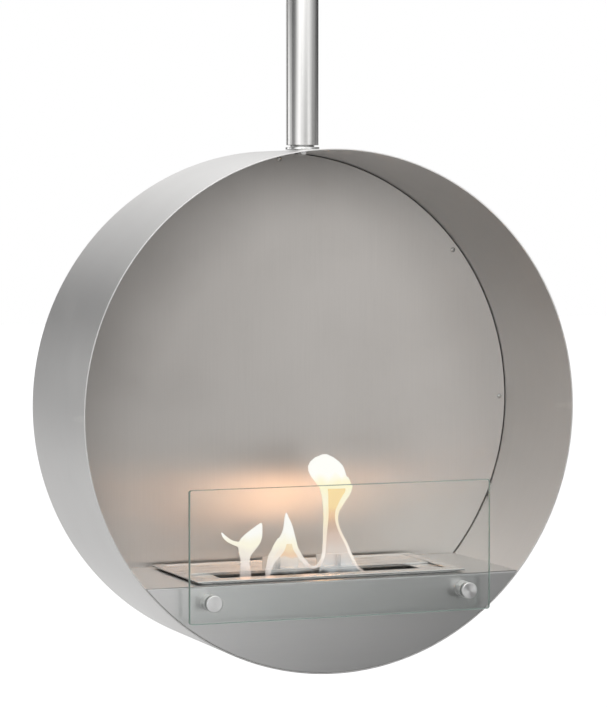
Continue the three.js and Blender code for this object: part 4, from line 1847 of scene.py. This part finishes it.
    def veil(self, name: str, rungs: Sequence[tuple[float, float, float, float]]) -> bpy.types.Object:
        """Makes the thin sheet of gas between two tongues.

        Args:
            name: The veil's name.
            rungs: Its rungs.

        Returns:
            The veil.
        """
        first = [Vector((rung[0] * MM, self.depth, rung[1] * MM)) for rung in rungs]
        piece = start_piece(name, first[0])
        draw_line(piece, first)
        nudge = Vector((MM, 0, 0))
        with editing(piece, everything=True):
            bpy.ops.mesh.extrude_region_move(TRANSFORM_OT_translate={"value": nudge})
        for vertex in list(piece.data.vertices)[len(rungs):]:
            nearest = min(range(len(rungs)), key=lambda n: (first[n] + nudge - vertex.co).length)
            right_x, right_z = rungs[nearest][2:]
            vertex.co = Vector((right_x * MM, self.depth, right_z * MM))
        with editing(piece, everything=True):
            bpy.ops.mesh.subdivide(number_cuts=3, smoothness=0.2)
        apply_modifier(piece, "SOLIDIFY", thickness=0.6 * MM, offset=0.0)
        settle(piece)
        pick(piece)
        bpy.ops.object.shade_smooth()
        return piece

    def build(self) -> None:
        """Builds and dresses the flames."""
        low = Flame(
            "flame_low",
            ((-0.890, (0.72, 0.64, 0.60), 0.35), (-0.880, (0.90, 0.82, 0.77), 0.6),
             (-0.866, (0.94, 0.87, 0.77), 0.75), (-0.855, (1.0, 0.95, 0.78), 0.88),
             (-0.840, (1.0, 0.99, 0.94), 0.97)),
            (1.5, 1.0, 0.75),
        ).build(self.groups)
        tall = Flame(
            "flame_tall",
            ((-0.890, (0.80, 0.70, 0.64), 0.4), (-0.870, (1.0, 0.92, 0.84), 0.7),
             (-0.848, (0.97, 0.85, 0.70), 0.75), (-0.825, (1.0, 0.90, 0.66), 0.8),
             (-0.805, (1.0, 0.95, 0.74), 0.88), (-0.790, (1.0, 0.94, 0.66), 0.97),
             (-0.775, (1.0, 1.0, 0.95), 0.99)),
            (23.0, 12.8, 6.8),
            self.tall_glow,
        ).build(self.groups)
        middle_thin = Flame(
            "veil_low",
            ((-0.8925, (0.80, 0.82, 0.82), 0.0), (-0.886, (0.80, 0.82, 0.82), 0.18),
             (-0.872, (0.88, 0.80, 0.72), 0.35), (-0.868, (0.93, 0.66, 0.45), 0.6),
             (-0.858, (0.95, 0.76, 0.50), 0.75), (-0.850, (1.0, 0.96, 0.84), 0.85)),
            (0.4, 0.3, 0.2),
        ).build(self.groups)
        tall_thin = Flame(
            "veil_tall",
            ((-0.8935, (0.80, 0.84, 0.86), 0.0), (-0.887, (0.82, 0.85, 0.87), 0.25),
             (-0.868, (0.95, 0.82, 0.74), 0.32), (-0.852, (0.95, 0.70, 0.58), 0.28),
             (-0.838, (0.75, 0.46, 0.30), 0.28), (-0.822, (0.93, 0.60, 0.35), 0.5),
             (-0.812, (0.96, 0.73, 0.38), 0.75),
             (-0.792, (0.97, 0.74, 0.38), 0.8)),
            (6.0, 3.6, 2.0),
            self.tall_glow,
        ).build(self.groups)
        bodies = (
            ("flame_left", self.left_leaf, (self.left_tail,), low),
            ("flame_middle", self.middle_leaf, self.middle_legs, low),
            ("flame_right", self.tall_leaf, self.tall_legs, tall),
        )
        made = [
            *((self.flame(name, [self.leaf(leaf), *map(self.tongue, lines)]), gas)
              for name, leaf, lines, gas in bodies),
            (self.veil("veil_middle", self.middle_veil), middle_thin),
            (self.veil("veil_right", self.tall_veil), tall_thin),
        ]
        for piece, material in made:
            hand_over(piece, "burner", None, material)
            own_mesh(piece)


# ------------------------------------------------------------------------------------- studio


@dataclass(frozen=True)
class SoftboxRow:
    """Soft patches of light at one height on the studio's tent, as the steel reflects them.

    A patch is an azimuth in degrees, which is 0 in front and 90 to the right, and a level.
    """

    elevation: float
    spread: float
    patches: tuple[tuple[float, float], ...]

    def direction(self, azimuth: float) -> Vector:
        """Gives the unit vector from the tent's centre to the middle of a patch.

        Args:
            azimuth: The patch's azimuth.

        Returns:
            The vector.
        """
        turn, rise = math.radians(azimuth), math.radians(self.elevation)
        level = math.cos(rise)
        return Vector((math.sin(turn) * level, -math.cos(turn) * level, math.sin(rise)))


@dataclass
class Studio:
    """Camera, floor, lamps and the pale tent round the object."""

    camera_place: Place = (-1.23188, -3.16642, -0.45784)
    camera_forward: Place = (0.36246, 0.93048, -0.05318)
    lens: float = 147.5
    floor_height: float = -1.95
    floor_white: float = 0.62
    world_level: float = 0.55
    tent_radius: float = 1.7
    tent_centre: Place = (0.0, 0.0, -0.65)
    tent_ceiling: float = 2.2
    ceiling_softness: float = 0.3
    softboxes: tuple[SoftboxRow, ...] = (
        SoftboxRow(22, 16, ((168, 0.30),)),
        SoftboxRow(-22, 16, ((172, 0.40),)),
        SoftboxRow(9, 14, (
            (-180, 0.67), (-140, 0.27), (-130, 1.18), (-110, 0.55), (-80, 0.22), (-70, 0.10),
            (-60, 0.34), (-50, 0.13), (-40, 0.45), (20, 0.04), (70, 0.12), (130, 0.05), (140, 0.13),
            (150, 0.33), (160, 0.05),
        )),
        SoftboxRow(-8, 26, (
            (-180, 0.22), (-140, 0.06), (-120, 0.06), (-100, 0.32), (-60, 1.01), (-40, 0.43),
            (100, 0.42), (120, 0.27), (140, 0.34), (160, 0.26),
        )),
        SoftboxRow(30, 38, (
            (-180, 0.31), (-120, 0.17), (-90, 0.05), (-30, 0.84), (0, 0.51), (30, 0.50), (60, 0.29),
            (90, 0.08),
        )),
        SoftboxRow(-28, 38, ((-180, 0.10), (-150, 0.54), (-120, 0.19), (90, 0.11), (150, 0.05))),
        SoftboxRow(55, 46, ((-165, 0.54), (-30, 1.25), (15, 0.60), (105, 0.07), (150, 0.43))),
        SoftboxRow(-52, 46, ((-165, 0.04), (-75, 0.49), (-30, 0.15), (105, 0.35), (150, 0.35))),
        SoftboxRow(-80, 50, ((0, 0.13),)),
        SoftboxRow(-15, 15, ((0, 1.07),)),
        SoftboxRow(-24, 15, ((9, 0.07),)),
        SoftboxRow(-6, 15, ((9, 0.59), (18, 0.28), (27, 0.57))),
        SoftboxRow(3, 15, ((27, 0.30),)),
        SoftboxRow(12, 15, ((27, 0.10),)),
        SoftboxRow(3, 15, ((36, 0.40),)),
    )

    def camera(self) -> None:
        """Places the camera where the photograph was taken from."""
        data = bpy.data.cameras.new("camera")
        data.lens = self.lens
        data.sensor_width = 36
        data.clip_start, data.clip_end = 0.05, 60
        camera = bpy.data.objects.new("camera", data)
        bpy.context.scene.collection.objects.link(camera)
        camera.location = self.camera_place
        camera.rotation_mode = "QUATERNION"
        camera.rotation_quaternion = Vector(self.camera_forward).to_track_quat("-Z", "Y")
        bpy.context.scene.camera = camera

    def world(self) -> None:
        """Makes the world white behind the object, and a plain level of light on it."""
        world = bpy.data.worlds.new("studio")
        bpy.context.scene.world = world
        world.use_nodes = True
        board = Board(world.node_tree)
        back = world.node_tree.nodes["Background"]
        rays = board.node("ShaderNodeLightPath").outputs
        shown = board.sum("ADD", rays["Is Camera Ray"], rays["Is Glossy Ray"])
        shown = board.sum("MINIMUM", board.sum("ADD", shown, rays["Is Transmission Ray"]), 1.0)
        strength = board.remap(shown, 0.0, 1.0, self.world_level, 1.0)
        board.wire(back, {"Strength": strength, "Color": (1, 1, 1, 1)})
        world.cycles.sampling_method = "NONE"

    def floor(self) -> None:
        """Lays a pale floor under the object."""
        clear_selection()
        bpy.ops.mesh.primitive_plane_add(size=60, location=(0, 0, self.floor_height))
        floor = bpy.context.active_object
        floor.name = "floor"
        material, board, shader = new_material("pale_floor")
        marble = board.remap(board.noise(board.own(), 1.2, 4.0), 0.3, 0.7, 0.0, 1.0)
        tone = board.blend(marble, (0.84, 0.84, 0.84), (0.88, 0.88, 0.88))
        board.wire(shader, {"Base Color": tone, "Roughness": 0.9})
        seen = board.node("ShaderNodeLightPath").outputs["Is Camera Ray"]
        strength = board.sum("MULTIPLY", seen, self.floor_white)
        white = board.node("ShaderNodeEmission", {"Color": (1, 1, 1, 1), "Strength": strength})
        mix = board.node("ShaderNodeAddShader", {0: shader.outputs[0], 1: white.outputs[0]})
        output = material.node_tree.nodes["Material Output"]
        material.node_tree.links.new(mix.outputs[0], output.inputs[0])
        floor.data.materials.append(material)
        floor.visible_glossy = False

    def tent(self) -> None:
        """Makes the tent: a sphere that shows only in reflections, and is clear to other rays."""
        clear_selection()
        bpy.ops.mesh.primitive_uv_sphere_add(
            segments=64, ring_count=32, radius=self.tent_radius, location=self.tent_centre
        )
        tent = bpy.context.active_object
        tent.name = "tent"
        pick(tent)
        bpy.ops.object.shade_smooth()
        material, board, shader = new_material("tent_cloth")
        board.tree.nodes.remove(shader)
        own = board.own()
        towards = board.vector("NORMALIZE", own).outputs[0]
        level: object = 0.0
        for row in self.softboxes:
            edge = math.cos(math.radians(row.spread))
            for azimuth, brightness in row.patches:
                facing = board.vector("DOT_PRODUCT", towards, row.direction(azimuth)).outputs["Value"]
                glow = board.remap(facing, edge, 1.0, 0.0, brightness, gentle=True)
                level = board.sum("ADD", level, glow)
        level = board.sum("SMOOTH_MIN", level, self.tent_ceiling, self.ceiling_softness)
        light = board.node("ShaderNodeEmission", {"Color": (1, 1, 1, 1), "Strength": level})
        clear = board.node("ShaderNodeBsdfTransparent")
        mirrored = board.node("ShaderNodeLightPath").outputs["Glossy Depth"]
        lit = board.sum("MINIMUM", mirrored, 1.0)
        inputs = {0: lit, 1: clear.outputs[0], 2: light.outputs[0]}
        cloth = board.node("ShaderNodeMixShader", inputs)
        output = material.node_tree.nodes["Material Output"]
        material.node_tree.links.new(cloth.outputs[0], output.inputs[0])
        material.cycles.emission_sampling = "NONE"
        tent.data.materials.append(material)
        tent.visible_camera = tent.visible_diffuse = False
        tent.visible_shadow = tent.visible_volume_scatter = False

    def lamp(self, name: str, place: Place, size: float, power: float) -> None:
        """Hangs a square softbox that faces the object.

        Args:
            name: The lamp's name.
            place: Where it hangs.
            size: The length of its sides.
            power: Its power in watts.
        """
        data = bpy.data.lights.new(name, "AREA")
        data.size = size
        data.energy = power
        lamp = bpy.data.objects.new(name, data)
        bpy.context.scene.collection.objects.link(lamp)
        lamp.location = place
        lamp.rotation_mode = "QUATERNION"
        lamp.rotation_quaternion = (Vector(self.tent_centre) - Vector(place)).to_track_quat("-Z", "Y")
        lamp.visible_glossy = False

    def build(self) -> None:
        """Sets up the whole studio."""
        bpy.context.scene.view_settings.view_transform = "Standard"
        self.camera()
        self.world()
        self.floor()
        self.tent()
        self.lamp("key_softbox", (1.4, -1.9, 1.2), 1.2, 30)
        self.lamp("fill_softbox", (-2.2, -1.4, 0.4), 1.4, 14)
        log.info("the studio is set up")


def main() -> None:
    """Builds the sub-assemblies in order."""
    logging.basicConfig(level=logging.INFO, format="%(message)s")
    groups = Groups.build()
    Studio().build()
    for assembly in (Suspension, Drum, Hearth, Screen, Burner, Lid, Fire):
        log.info("%s", assembly.__name__)
        assembly(groups).build()


if __name__ == "__main__":
    main()
